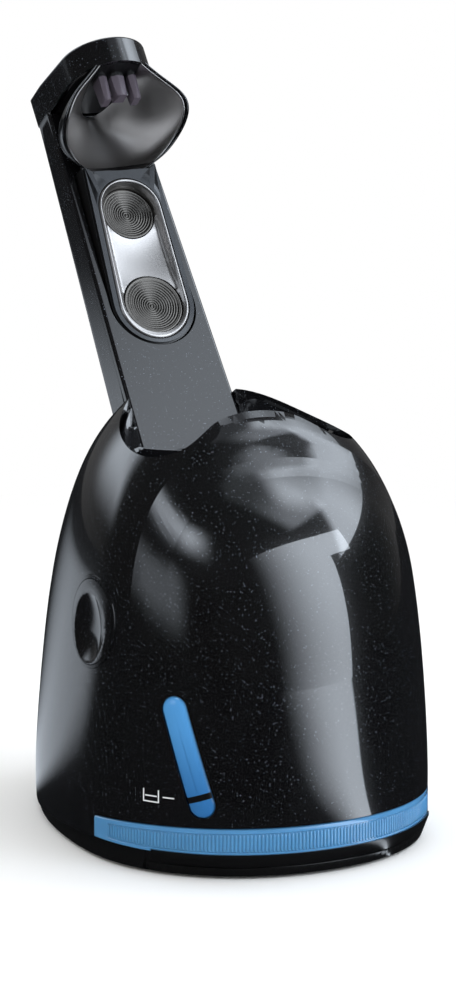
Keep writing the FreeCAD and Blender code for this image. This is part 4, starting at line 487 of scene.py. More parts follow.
def button_matrix():
    """Origin at the lower button's face, z outwards, y up the tower."""
    local = Matrix.Translation((0, -BUTTON_RISE * MM, FAST_S * MM))
    return tower_matrix() @ local @ Matrix.Rotation(math.pi / 2 + BUTTON_TILT, 4, "X")


def new_object(name, mesh, slot):
    made = bpy.data.objects.new(name, mesh)
    bpy.context.collection.objects.link(made)
    mesh.materials.clear()
    mesh.materials.append(MATERIALS[slot])
    return made


def settle(piece, body, node):
    """Hands a finished piece to the frame, in place of a node."""
    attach(piece, body)
    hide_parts(node)


def settle_mesh(mesh, body, slot, node):
    """Hands a finished mesh to the frame as a piece of the same name."""
    settle(new_object(mesh.name, mesh, slot), body, node)


def weld(mesh, angle, copied=False, smooth=True):
    """Merges a mesh's doubles, makes it sound, and shades it smooth across all but its edges."""
    work = bmesh.new()
    work.from_mesh(mesh)
    bmesh.ops.remove_doubles(work, verts=work.verts, dist=MERGE * MM)
    if copied:
        bmesh.ops.dissolve_degenerate(work, edges=work.edges, dist=SLIVER * MM)
    else:
        bmesh.ops.recalc_face_normals(work, faces=work.faces)
    for face in work.faces:
        face.smooth = smooth
    work.to_mesh(mesh)
    work.free()
    mesh.set_sharp_from_angle(angle=math.radians(angle))
    return mesh


def polished(node, angle=32.0, weighted=True):
    """A node's own shape with smooth shading, in place of the node."""
    mesh = frame["nodes"][node].data.copy()
    mesh.name = node + "_finish"
    made = new_object(mesh.name, weld(mesh, angle, copied=True), SLOT_OF[node])
    if weighted:
        modifier = made.modifiers.new("weigh", "WEIGHTED_NORMAL")
        modifier.keep_sharp = True
        modifier.mode = "FACE_AREA_WITH_ANGLE"
        bake_modifiers(made)
    return made


def bake_modifiers(made):
    """Turns an object's evaluated result into its plain mesh."""
    graph = bpy.context.evaluated_depsgraph_get()
    mesh = bpy.data.meshes.new_from_object(made.evaluated_get(graph), depsgraph=graph)
    made.modifiers.clear()
    old = made.data
    made.data = mesh
    bpy.data.meshes.remove(old)


def grid_faces(rows, columns, closed=False, offset=0, flip=False):
    faces = []
    last = columns if closed else columns - 1
    for i in range(rows - 1):
        for j in range(last):
            a, b = i * columns + j, i * columns + (j + 1) % columns
            quad = (offset + a, offset + b, offset + b + columns, offset + a + columns)
            faces.append(quad[::-1] if flip else quad)
    return faces


def mesh_of(name, points, faces, smooth=True, angle=40.0):
    mesh = bpy.data.meshes.new(name)
    mesh.from_pydata([tuple(p) for p in points], [], faces)
    mesh.validate()
    return weld(mesh, angle, smooth=smooth)


def spline(knots, values, at):
    """Natural cubic through knots, for one or more columns of values."""
    n = len(knots)
    h = np.diff(knots)
    values = np.asarray(values, float).reshape(n, -1)
    lhs = np.zeros((n, n))
    rhs = np.zeros(values.shape)
    lhs[0, 0] = lhs[-1, -1] = 1.0
    for i in range(1, n - 1):
        lhs[i, i - 1], lhs[i, i], lhs[i, i + 1] = h[i - 1], 2 * (h[i - 1] + h[i]), h[i]
        rhs[i] = 6 * ((values[i + 1] - values[i]) / h[i] - (values[i] - values[i - 1]) / h[i - 1])
    bend = np.linalg.solve(lhs, rhs)
    at = np.asarray(at, float)
    k = np.clip(np.searchsorted(knots, at) - 1, 0, n - 2)
    left, right = (knots[k + 1] - at)[:, None], (at - knots[k])[:, None]
    span = h[k][:, None]
    curve = (bend[k] * left ** 3 + bend[k + 1] * right ** 3) / (6 * span)
    return curve + (values[k] / span - bend[k] * span / 6) * left \
        + (values[k + 1] / span - bend[k + 1] * span / 6) * right


def form_values(z, drop):
    """Half width, front, rear and widest of the form at heights z; drop 1 is the front panel's form."""
    table = FORM[:, 1:].copy()
    table[:, 0] -= NARROWING * drop
    table[:, 1] += DROP * drop
    return spline(FORM[:, 0], table, np.clip(z, FORM[0, 0], FORM[-1, 0])).T


def half_and_front(z):
    """Half width and front of the form at one height."""
    return form_values(np.array([z]), 0.0)[:2, 0]


def form_level(p, drop):
    """Below 1 inside the form, 1 on it. p is in layout millimetres."""
    half, front, rear, widest = form_values(p[:, 2], drop)
    y = p[:, 1] - widest
    reach = np.where(y > 0, rear - widest, widest - front)
    return (np.abs(p[:, 0] / half) ** EXPONENT + np.abs(y / reach) ** EXPONENT) ** (1 / EXPONENT)


def form_normals(p, drop):
    step = 0.05
    grad = np.zeros(p.shape)
    for k in range(3):
        d = np.zeros(3)
        d[k] = step
        grad[:, k] = form_level(p + d, drop) - form_level(p - d, drop)
    return grad / np.maximum(np.linalg.norm(grad, axis=1), 1e-12)[:, None]


def values_of(items, name, width=3, kind=np.float32):
    """One property of all of a mesh's vertices, corners or faces."""
    values = np.empty(len(items) * width, kind)
    items.foreach_get(name, values)
    return values.reshape(-1, width)


def on_form(centres, flat, drop, near, facing):
    """Whether faces lie near the form, in shares of its size, and face its way."""
    faces_it = (flat * form_normals(centres, drop)).sum(axis=1) > facing
    return (np.abs(form_level(centres, drop) - 1) < near) & faces_it


def smooth_form(mesh):
    """Gives the corners of faces that lie on the housing's outer form that form's own normals."""
    mesh.update()
    normals = values_of(mesh.corner_normals, "vector")
    places = values_of(mesh.vertices, "co") / MM - (0, SHIFT, 0)
    centres = values_of(mesh.polygons, "center") / MM - (0, SHIFT, 0)
    flat = values_of(mesh.polygons, "normal")
    corner = values_of(mesh.loops, "vertex_index", 1, np.int32)[:, 0]
    totals = values_of(mesh.polygons, "loop_total", 1, np.int32)[:, 0]
    face_of = np.repeat(np.arange(len(totals)), totals)
    first = np.cumsum(totals) - totals
    corners = places[corner]
    depth = centres[:, 1] - (centres[:, 2] - ARCH_Z) * ARCH_SLOPE
    # the two strips of the band between the arches are smooth along their length and crisp at their edges
    near = on_form(centres, flat, 0.5, near=0.05, facing=0.8)
    sides = corners[first + 1] - corners[first], corners[first + 2] - corners[first]
    spread = np.linalg.norm(np.cross(*sides), axis=1)
    for low, high in ((INNER_ARCH, MIDDLE_ARCH), (MIDDLE_ARCH, OUTER_ARCH)):
        pick = (near & (depth > low) & (depth < high))[face_of]
        total = np.zeros((len(places), 3))
        np.add.at(total, corner[pick], (flat * spread[:, None])[face_of[pick]])
        normals[pick] = total[corner[pick]] / np.linalg.norm(total[corner[pick]], axis=1)[:, None]
    for drop, region in ((0.0, depth > OUTER_ARCH), (1.0, depth < INNER_ARCH)):
        pick = (region & on_form(centres, flat, drop, near=0.012, facing=0.93))[face_of]
        normals[pick] = form_normals(corners[pick].astype(float), drop)
    mesh.normals_split_custom_set(normals.tolist())


# ---- pieces -------------------------------------------------------------------------------------

class StationPiece:
    """What the operators share."""
    bl_options = {"REGISTER", "UNDO"}

    @classmethod
    def poll(cls, context):
        return bool(MATERIALS)


class STATION_OT_finishes(bpy.types.Operator):
    """Makes the finishes and gives each carried-over node its own"""
    bl_idname = "station.finishes"
    bl_label = "Finishes"

    def execute(self, context):
        MATERIALS.update(make_materials())
        for node, made in frame["nodes"].items():
            for slot in made.material_slots:
                slot.material = MATERIALS[SLOT_OF[node]]
        return {"FINISHED"}


class STATION_OT_housing(StationPiece, bpy.types.Operator):
    """Housing in two halves: the dome with its arches, and the rear cover with its vents"""
    bl_idname = "station.housing"
    bl_label = "Housing"

    def execute(self, context):
        for node in ("dome_shell", "rear_cover"):
            made = polished(node, angle=14.0, weighted=False)
            smooth_form(made.data)
            settle(made, "housing", node)
        return {"FINISHED"}


class STATION_OT_springs(StationPiece, bpy.types.Operator):
    """Lift springs with clean shading, in place of their node"""
    bl_idname = "station.springs"
    bl_label = "Springs"

    def execute(self, context):
        made = polished("lift_springs", weighted=False)
        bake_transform(made)
        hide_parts("lift_springs")
        return {"FINISHED"}


class STATION_OT_tower(StationPiece, bpy.types.Operator):
    """Tower, cap, plug, bowl and base with clean shading"""
    bl_idname = "station.tower"
    bl_label = "Tower, cap and bowl"

    def execute(self, context):
        for body, nodes in POLISHED.items():
            for node in nodes:
                settle(polished(node), body, node)
        return {"FINISHED"}


def hood_surface(sections, grow, back, rows=64, columns=129):
    """Points of the bell between its mouth line and its back, grown outwards; back moves the mouth line."""
    s = np.linspace(sections[0, 0] + 0.05, HOOD_TOP, rows)
    half, rear = spline(sections[:, 0], sections[:, 1:], s).T
    mouth = spline(HOOD_MOUTH[:, 0], HOOD_MOUTH[:, 1:], s)[:, 0] + back
    deep = HOOD_CENTRE - rear + grow
    across = half + grow
    limit = np.arccos(np.clip(-(mouth - HOOD_CENTRE) / deep, -1, 1))
    angle = limit[:, None] * np.linspace(-1, 1, columns)[None, :]
    x = across[:, None] * np.sin(angle)
    n = HOOD_CENTRE - deep[:, None] * np.cos(angle)
    return np.stack((x, -n, np.repeat(s[:, None], columns, 1)), -1) * MM


def hood_wall(name, sections, skins, back):
    """Closed shell between two grown bells, with a rounded mouth edge."""
    a, b = (hood_surface(sections, grow, back) for grow in skins)
    rows, columns = a.shape[:2]
    middle = (a + b) / 2
    # rounded edge at both ends of each row: the end points bulge past the mouth line
    edges = []
    for k, side in ((0, 1), (-1, -1)):
        along = a[:, k] - a[:, k + side]
        along /= np.maximum(np.linalg.norm(along, axis=1), 1e-9)[:, None]
        thick = np.linalg.norm(a[:, k] - b[:, k], axis=1)[:, None] / 2
        across = (a[:, k] - b[:, k]) / np.maximum(2 * thick, 1e-9)
        edges.append([middle[:, k] + across * thick * math.cos(w) + along * thick * math.sin(w)
                      for w in np.linspace(0, math.pi, EDGE_POINTS + 2)[1:-1]])
    left, right = edges
    ring = [*a.swapaxes(0, 1), *right, *b.swapaxes(0, 1)[::-1], *left[::-1]]
    ring = np.stack(ring, axis=1)
    total = ring.shape[1]
    faces = grid_faces(rows, total, closed=True)
    for k in (0, rows - 1):
        for j in range(columns - 1):
            p = k * total + j
            q = k * total + (2 * columns + EDGE_POINTS - 1 - j)
            faces.append((p, p + 1, q - 1, q))
    world = tower_matrix()
    return mesh_of(name, [world @ Vector(p) for p in ring.reshape(-1, 3)], faces, angle=50.0)


class STATION_OT_hood(StationPiece, bpy.types.Operator):
    """Bell-shaped hood: black outer shell and bright liner with rounded edges"""
    bl_idname = "station.hood"
    bl_label = "Hood"

    def execute(self, context):
        bell = hood_wall("hood_bell", HOOD_SECTIONS, HOOD_BLACK, 0.0)
        lining = hood_wall("hood_lining", LINER_SECTIONS, HOOD_BRIGHT, LINING_BACK)
        settle_mesh(bell, "housing", "housing_black", "hood_shell")
        settle_mesh(lining, "housing", "satin_chrome", "hood_liner")
        return {"FINISHED"}


def lathe(name, profile, segments, matrix):
    """Turned shape with a map that runs round it, for the turning marks."""
    profile = np.array(profile) * MM
    angle = np.linspace(0, 2 * math.pi, segments, endpoint=False)
    rows = [np.stack((r * np.cos(angle), r * np.sin(angle), np.full(segments, z)), -1) for r, z in profile]
    points = [matrix @ Vector(p) for p in np.concatenate(rows)]
    faces = grid_faces(len(profile), segments, closed=True, flip=True)
    mesh = bpy.data.meshes.new(name)
    mesh.from_pydata([tuple(p) for p in points], [], faces)
    layer = mesh.uv_layers.new(name="turning")
    reach = np.concatenate(([0.0], np.cumsum(np.linalg.norm(np.diff(profile, axis=0), axis=1))))
    for polygon in mesh.polygons:
        indices = [mesh.loops[k].vertex_index for k in polygon.loop_indices]
        columns = [index % segments for index in indices]
        wraps = max(columns) - min(columns) > 1
        for k, index, column in zip(polygon.loop_indices, indices, columns):
            if wraps and column == 0:
                column = segments
            layer.data[k].uv = (column / segments, reach[index // segments] / (MAP_UNIT * MM))
    return weld(mesh, 38.0)


def bezel_outline(inset, x, y):
    """How far points lie inside the outline round both buttons, less an inset."""
    reach = START_S - FAST_S
    t = np.clip(y / reach, 0, 1)
    radius = FAST_RADIUS + (START_RADIUS - FAST_RADIUS) * t + BEZEL_RIM
    return radius - np.hypot(x, y - t * reach) - inset


def bezel_height(x, y):
    """Bead round the outside, then a shallow trough that dips between the buttons."""
    depth = bezel_outline(0.0, x, y)
    top = BEZEL_TOP + BEZEL_SLOPE * y
    fall = np.clip((depth - BEAD_EDGE) / BEAD_FALL, 0, 1)
    fall = fall * fall * (3 - 2 * fall)
    round_edge = -BEAD_DROP * np.clip(1 - depth / BEAD_EDGE, 0, 1) ** BEAD_POWER
    middle = (START_S - FAST_S + FAST_RADIUS - START_RADIUS) / 2
    away = np.clip(1 - ((y - middle) / TROUGH_ALONG) ** 2, 0, 1)
    floor = TROUGH_FLOOR - BEZEL_HOLLOW * away * np.clip(1 - (x / TROUGH_ACROSS) ** 2, 0, 1)
    return (top + round_edge) * (1 - fall) + floor * fall


def bezel_rim():
    """Round both buttons: place along the bezel, angle and radius."""
    reach = START_S - FAST_S
    tilt = math.asin((FAST_RADIUS - START_RADIUS) / reach)
    rim = []
    for arc, centre, radius, shares, end in (
            ((math.pi - tilt, 2 * math.pi + tilt, 73), 0.0, FAST_RADIUS, (0, 1), tilt),
            ((tilt, math.pi - tilt, 67), reach, START_RADIUS, (1, 0), math.pi - tilt)):
        rim += [(centre, a, radius) for a in np.linspace(*arc)]
        for t in np.linspace(*shares, 31)[1:-1]:
            rim.append((t * reach, end, FAST_RADIUS + (START_RADIUS - FAST_RADIUS) * t))
    return np.array(rim).T


def bezel_mesh():
    """Sheet over the outline with both buttons' holes, closed by walls and a flat back."""
    reach = START_S - FAST_S
    centre, angle, radius = bezel_rim()
    loops = []
    for inset in BEAD_INSETS:
        r = radius + BEZEL_RIM - inset
        loops.append(np.stack((r * np.cos(angle), centre + r * np.sin(angle)), -1))
    holes = ((0.0, FAST_RADIUS + BUTTON_GAP), (reach, START_RADIUS + BUTTON_GAP))
    turn = np.linspace(0, 2 * math.pi, 96, endpoint=False)
    for y, r in holes:
        loops.append(np.stack((r * np.cos(turn), y + r * np.sin(turn)), -1))
    points, edges = [], []
    for loop in loops:
        start = len(points)
        points += [Vector(p) for p in loop]
        edges += [(start + k, start + (k + 1) % len(loop)) for k in range(len(loop))]
    gx, gy = np.meshgrid(np.arange(-BEZEL_HALF, BEZEL_HALF + 0.1, BEZEL_GRID),
                         np.arange(-2.0, reach + 2.0, BEZEL_GRID))
    gx, gy = gx.ravel(), gy.ravel()
    kept = bezel_outline(2.5, gx, gy) > 0
    for y, r in holes:
        kept &= np.hypot(gx, gy - y) > r + 0.4
    points += [Vector(p) for p in zip(gx[kept], gy[kept])]
    flat, _, triangles, *_ = delaunay_2d_cdt(points, edges, [], 0, 1e-5)
    flat = np.array([tuple(p) for p in flat])
    chosen = []
    for triangle in triangles:
        x, y = flat[list(triangle)].mean(axis=0)
        if bezel_outline(0.0, x, y) > -0.005 and all(math.hypot(x, y - cy) > r - 0.02 for cy, r in holes):
            chosen.append(tuple(triangle))
    count = len(flat)
    top = np.column_stack((flat, bezel_height(flat[:, 0], flat[:, 1])))
    under = np.column_stack((flat, np.full(count, -BEZEL_DEEP)))
    faces = chosen + [tuple(count + k for k in reversed(t)) for t in chosen]
    used = dict.fromkeys((a, b) for t in chosen for a, b in zip(t, t[1:] + t[:1]))
    faces += [(b, a, count + a, count + b) for a, b in used if (b, a) not in used]
    matrix = button_matrix()
    placed = [matrix @ (Vector(p) * MM) for p in np.concatenate((top, under))]
    return mesh_of("button_bezel_bead", placed, faces, angle=48.0)


class STATION_OT_bezel(StationPiece, bpy.types.Operator):
    """Bezel round both push buttons: a bead with a dished trough"""
    bl_idname = "station.bezel"
    bl_label = "Bezel"

    def execute(self, context):
        settle_mesh(bezel_mesh(), "housing", "satin_chrome", "button_bezel")
        return {"FINISHED"}


def disc_profile(radius, pitch, depth):
    """Half section of a push button: dished face with turned rings, flat rim, side and stem."""
    dish = radius - DISC_RIM
    profile = [(0.0, -BUTTON_DISH)]
    for r in np.arange(0.25, dish, pitch / 8):
        wave = 0.5 - 0.5 * math.cos(2 * math.pi * (r - 0.25) / pitch)
        profile.append((r, -BUTTON_DISH * (1 - (r / dish) ** 2) - depth * wave ** 2))
    profile += [(dish, -0.08), (dish + 0.2, 0.0), (radius - 0.35, 0.0), (radius - 0.1, -0.1), (radius, -0.35)]
    profile += [(radius, -BUTTON_THICKNESS), (STEM_RADIUS, -BUTTON_THICKNESS)]
    return profile + [(STEM_RADIUS, STEM_END), (0.0, STEM_END)]


class STATION_OT_push_buttons(StationPiece, bpy.types.Operator):
    """Start and fast-clean buttons, turned from aluminium with concentric rings"""
    bl_idname = "station.push_buttons"
    bl_label = "Push buttons"

    def execute(self, context):
        sizes = context.scene.station_sizes
        for node, radius, y in (("fast_clean_button", FAST_RADIUS, 0.0),
                                ("start_button", START_RADIUS, START_S - FAST_S)):
            profile = disc_profile(radius, sizes.ring_pitch / MM, sizes.ring_depth / MM)
            matrix = button_matrix() @ Matrix.Translation((0, y * MM, 0))
            settle_mesh(lathe(node + "_turned", profile, DISC_SEGMENTS, matrix), node, "button_metal", node)
        return {"FINISHED"}


def outline(inset, count=420):
    """Evenly spaced points of the front of the form's outline, from the strip's left end to its right."""
    half, front = half_and_front(STRIP_Z)
    half, front = half - inset + STRIP_PROUD, -front - inset + STRIP_PROUD
    a = np.linspace(math.pi, 2 * math.pi, 4001)
    x = half * np.sign(np.cos(a)) * np.abs(np.cos(a)) ** (2 / EXPONENT)
    y = -front * np.abs(np.sin(a)) ** (2 / EXPONENT)
    kept = y < STRIP_END
    x, y = x[kept], y[kept]
    along = np.concatenate(([0.0], np.cumsum(np.hypot(np.diff(x), np.diff(y)))))
    even = np.linspace(0, along[-1], count)
    return np.interp(even, along, x), np.interp(even, along, y)


def strip_top(y):
    """Height of the strip's top edge."""
    return spline(STRIP_EDGE[:, 0], STRIP_EDGE[:, 1], y)[:, 0]


def strip_mesh(relief):
    """The strip's body with a sunk field for the ribs, and a rail of loose edges for them to stand on."""
    edge = strip_top(outline(0.0)[1])
    field = np.clip((RIBS_END - outline(0.0)[1]) / 0.8, 0, 1)
    # from the inside of the foot round to the inside of the top: from the top edge or the foot,
    # height over it, depth behind the skin, and whether the rib field sinks it
    section = [(0, 0.0, 1.6, 0), (0, 0.0, 0.5, 0), (0, 0.15, 0.15, 0), (0, 0.5, 0.0, 0),
               (0, RIB_FOOT - 0.3, 0.0, 0), (0, RIB_FOOT, 0.0, 1), (1, -RIB_HEAD, 0.0, 1),
               (1, 0.3 - RIB_HEAD, 0.0, 0), (1, -0.9, 0.0, 0), (1, -0.4, 0.12, 0), (1, -0.12, 0.4, 0),
               (1, 0.0, 0.9, 0), (1, 0.0, STRIP_THICKNESS, 0), (0, 0.0, STRIP_THICKNESS, 0)]
    rows = []
    for top, z, inset, sunk in section:
        x, y = outline(inset)
        unit = np.stack((x, y), -1) / np.hypot(x, y)[:, None]
        height = np.where(top, edge, STRIP_BOTTOM) + z
        sink = field * relief * sunk
        rows.append(place(x - unit[:, 0] * sink, y - unit[:, 1] * sink, height))
    columns = len(rows[0])
    points = np.concatenate(rows + [rows[0]])
    faces = grid_faces(len(rows) + 1, columns)
    for end in (0, columns - 1):
        faces.append(tuple(k * columns + end for k in range(len(rows))))
    mesh = mesh_of("grip_strip", points, faces, angle=30.0)
    x, y = outline(relief * 1.05, 1400)
    kept = y < RIBS_END - 0.6
    head = strip_top(y) - RIB_HEAD - 0.1
    foot = STRIP_BOTTOM + RIB_FOOT + 0.1
    rail = place(x, y, (head + foot) / 2)[kept]
    tall = ((head - foot) * MM)[kept]
    work = bmesh.new()
    work.from_mesh(mesh)
    layer = work.verts.layers.float.new("tall")
    previous = None
    for point, height in zip(rail, tall):
        vertex = work.verts.new(point)
        vertex[layer] = height
        if previous:
            work.edges.new((previous, vertex))
        previous = vertex
    work.to_mesh(mesh)
    work.free()
    return mesh


def rib_group(material):
    """Geometry nodes: upright round ribs at an even pitch along the rail."""
    tree = bpy.data.node_groups.new("upright_ribs", "GeometryNodeTree")
    face = tree.interface
    face.new_socket("Geometry", in_out="INPUT", socket_type="NodeSocketGeometry")
    for name in ("Pitch", "Width", "Depth"):
        face.new_socket(name, in_out="INPUT", socket_type="NodeSocketFloat")
    face.new_socket("Geometry", in_out="OUTPUT", socket_type="NodeSocketGeometry")
    given = add(tree, "NodeGroupInput").outputs
    tall = add(tree, "GeometryNodeInputNamedAttribute", {"data_type": "FLOAT"}, {"Name": "tall"}).outputs[0]
    is_rail = add(tree, "FunctionNodeCompare", {"operation": "GREATER_THAN"}, {1: 0.0}, {0: tall})
    parts = add(tree, "GeometryNodeSeparateGeometry", {"domain": "POINT"},
                links={0: given["Geometry"], 1: is_rail})
    curve = add(tree, "GeometryNodeMeshToCurve", links={0: parts})
    even = add(tree, "GeometryNodeResampleCurve", {"mode": "LENGTH"},
               links={0: curve, "Length": given["Pitch"]})
    # one rib: a round bar of unit height with domed ends
    radius = calc(tree, "MULTIPLY", given["Width"], 0.5)
    bar = add(tree, "GeometryNodeMeshCylinder", {"fill_type": "NGON"},
              {"Vertices": 12, "Side Segments": 12, "Depth": 1.0}, {"Radius": radius})
    spot = add(tree, "GeometryNodeInputPosition").outputs[0]
    height = add(tree, "ShaderNodeSeparateXYZ", links={0: spot}).outputs[2]
    from_middle = calc(tree, "ABSOLUTE", calc(tree, "MULTIPLY", height, 2.0))
    narrowing = calc(tree, "MULTIPLY", calc(tree, "POWER", from_middle, 12.0), 0.93)
    slim = calc(tree, "SQRT", calc(tree, "SUBTRACT", 1.0, narrowing))
    factor = add(tree, "ShaderNodeCombineXYZ", values={2: 1.0}, links={0: slim, 1: slim})
    domed = vector(tree, "MULTIPLY", links={0: spot, 1: factor})
    rib = add(tree, "GeometryNodeSetPosition", links={0: bar, "Position": domed})
    tangent = add(tree, "GeometryNodeInputTangent").outputs[0]
    turned = add(tree, "FunctionNodeAlignRotationToVector", {"axis": "X", "pivot_axis": "Z"},
                 links={"Vector": tangent})
    deep = calc(tree, "DIVIDE", given["Depth"], radius)
    scale = add(tree, "ShaderNodeCombineXYZ", values={0: 1.0}, links={1: deep, 2: tall})
    ribs = add(tree, "GeometryNodeInstanceOnPoints", links={
        "Points": even, "Instance": rib, "Rotation": turned,
        "Scale": scale})
    plain = add(tree, "GeometryNodeRealizeInstances", links={0: ribs})
    smooth = add(tree, "GeometryNodeSetShadeSmooth", links={0: plain})
    joined = add(tree, "GeometryNodeJoinGeometry")
    tree.links.new(smooth.outputs[0], joined.inputs[0])
    tree.links.new(parts.outputs[1], joined.inputs[0])
    dressed = add(tree, "GeometryNodeSetMaterial", values={"Material": material}, links={0: joined})
    add(tree, "NodeGroupOutput", links={0: dressed})
    return tree


def grown(made, group, values):
    """Runs a geometry-nodes group on an object and keeps the result as its plain mesh."""
    modifier = made.modifiers.new(group.name, "NODES")
    modifier.node_group = group
    for item in group.interface.items_tree:
        if item.in_out == "INPUT" and item.name in values:
            modifier[item.identifier] = values[item.name]
    bake_modifiers(made)


class STATION_OT_grip_strip(StationPiece, bpy.types.Operator):
    """Grip strip of the cartridge with its upright ribs"""
    bl_idname = "station.grip_strip"
    bl_label = "Grip strip"

    def execute(self, context):
        sizes = context.scene.station_sizes
        made = new_object("grip_strip", strip_mesh(sizes.rib_depth / MM), "cartridge_blue")
        grown(made, rib_group(MATERIALS["cartridge_blue"]),
              {"Pitch": sizes.rib_pitch, "Width": sizes.rib_pitch * RIB_SHARE, "Depth": sizes.rib_depth})
        settle(made, "base", "cartridge_grip")
        return {"FINISHED"}


def window_points(across, along, rise):
    """Points over the window's place: across and along it in mm, and rise above the housing's skin."""
    half, front = half_and_front(WINDOW_Z)
    reach = 1 / math.hypot(math.sin(WINDOW_ANGLE) / half, math.cos(WINDOW_ANGLE) / front)
    c, s = math.cos(WINDOW_TILT), math.sin(WINDOW_TILT)
    x, z = across * c - along * s, across * s + along * c
    out = np.array((-math.sin(WINDOW_ANGLE), -math.cos(WINDOW_ANGLE), 0.0))
    side = np.array((math.cos(WINDOW_ANGLE), -math.sin(WINDOW_ANGLE), 0.0))
    foot = out * reach + side * x[:, None] + np.array((0, 0, 1)) * (WINDOW_Z + z)[:, None]
    near, far = np.full(len(x), -8.0), np.full(len(x), 8.0)
    for _ in range(30):
        middle = (near + far) / 2
        outside = form_level(foot + out * middle[:, None], 0.0) > 1
        near, far = np.where(outside, near, middle), np.where(outside, middle, far)
    return foot + out * (near + rise)[:, None]


def lens_rise(across, along):
    apart = np.hypot(across, np.maximum(np.abs(along) - WINDOW_STRAIGHT, 0.0)) / WINDOW_RADIUS
    return LENS_RISE * np.sqrt(np.clip(1 - apart ** 2, 0, 1)) - LENS_SINK


def lens_mesh():
    """Pill-shaped lens, domed across, with a skirt down into the wall."""
    ends = np.linspace(0, math.pi, 21)
    straight = np.linspace(WINDOW_STRAIGHT, -WINDOW_STRAIGHT, 25)[1:-1]
    way = [(math.cos(a), math.sin(a), WINDOW_STRAIGHT) for a in ends] + [(-1.0, 0.0, v) for v in straight] \
        + [(-math.cos(a), -math.sin(a), -WINDOW_STRAIGHT) for a in ends] + [(1.0, 0.0, -v) for v in straight]
    way = np.array(way)
    rows = []
    for a in np.linspace(0.02, math.pi / 2, 15):
        across = way[:, 0] * math.sin(a) * WINDOW_RADIUS
        along = way[:, 2] + way[:, 1] * math.sin(a) * WINDOW_RADIUS
        rows.append(window_points(across, along, lens_rise(across, along)))
    rows.append(window_points(across, along, np.full(len(across), LENS_SKIRT)))
    points = np.concatenate(rows)
    total = len(way)
    faces = grid_faces(len(rows), total, closed=True)
    faces.append(tuple(range(total)))
    faces.append(tuple(range((len(rows) - 1) * total, len(rows) * total)))
    return mesh_of("level_lens", place(*points.T), faces, angle=50.0)


def mark_mesh():
    """Printed band across the lens."""
    across = np.linspace(-WINDOW_RADIUS * 0.97, WINDOW_RADIUS * 0.97, 25)
    rows = []
    for along, lift in ((MARK_BOTTOM, -0.1), (MARK_BOTTOM, 0.03), (MARK_TOP, 0.03), (MARK_TOP, -0.1)):
        line = np.full(len(across), along)
        rows.append(window_points(across, line, lens_rise(across, line) + lift))
    points = np.concatenate(rows + [rows[0]])
    faces = grid_faces(5, len(across))
    for end in (0, len(across) - 1):
        faces.append(tuple(k * len(across) + end for k in range(4)))
    return mesh_of("level_mark", place(*points.T), faces, angle=30.0)


class STATION_OT_level_window(StationPiece, bpy.types.Operator):
    """Domed lens of the level window, and its lower mark"""
    bl_idname = "station.level_window"
    bl_label = "Level window"

    def execute(self, context):
        settle_mesh(lens_mesh(), "housing", "window_blue", "window_lens")
        settle_mesh(mark_mesh(), "housing", "black_print", "min_mark")
        return {"FINISHED"}


class STATION_OT_stage(StationPiece, bpy.types.Operator):
    """Table top, studio lights, surroundings and camera"""
    bl_idname = "station.stage"
    bl_label = "Studio"

    def execute(self, context):
        scene = context.scene
        make_floor(scene)
        make_world(scene)
        make_lights()
        make_camera(scene)
        scene.view_settings.view_transform = "Standard"
        return {"FINISHED"}


def pools(tree, coords, apart):
    """Brightness that glossy pieces see on the table: dark, with the key light's pool and a second one."""
    split = add(tree, "ShaderNodeSeparateXYZ", links={0: coords})
    x, y = split.outputs[0], split.outputs[1]
    across, ahead = calc(tree, "SUBTRACT", x, POOL_FROM[0]), calc(tree, "SUBTRACT", POOL_FROM[1], y)
    around = calc(tree, "ARCTAN2", across, ahead)
    along = calc(tree, "ADD", calc(tree, "MULTIPLY", x, KEY_WAY[0]), calc(tree, "MULTIPLY", y, KEY_WAY[1]))
    key = calc(tree, "MULTIPLY", ramp(tree, around, *KEY_SOFT, 0.0, KEY_FOOT),
               ramp(tree, around, *KEY_HARD, 1.0, 0.0), calc(tree, "LESS_THAN", along, POOL_END))
    # the second is behind on the left, for the housing's and the tower's side
    around = calc(tree, "ARCTAN2", x, calc(tree, "MULTIPLY", y, -1.0))
    turn = calc(tree, "MULTIPLY", calc(tree, "GREATER_THAN", around, 0.0), math.tau)
    around = calc(tree, "SUBTRACT", around, turn)
    side = calc(tree, "MULTIPLY", ramp(tree, around, *SIDE_SOFT, 0.0, 1.0),
                ramp(tree, around, *SIDE_HARD, 1.0, 0.0), ramp(tree, apart, *SIDE_GONE, SIDE_LIGHT, 0.0))
    return calc(tree, "ADD", key, side, FLOOR_DARK)


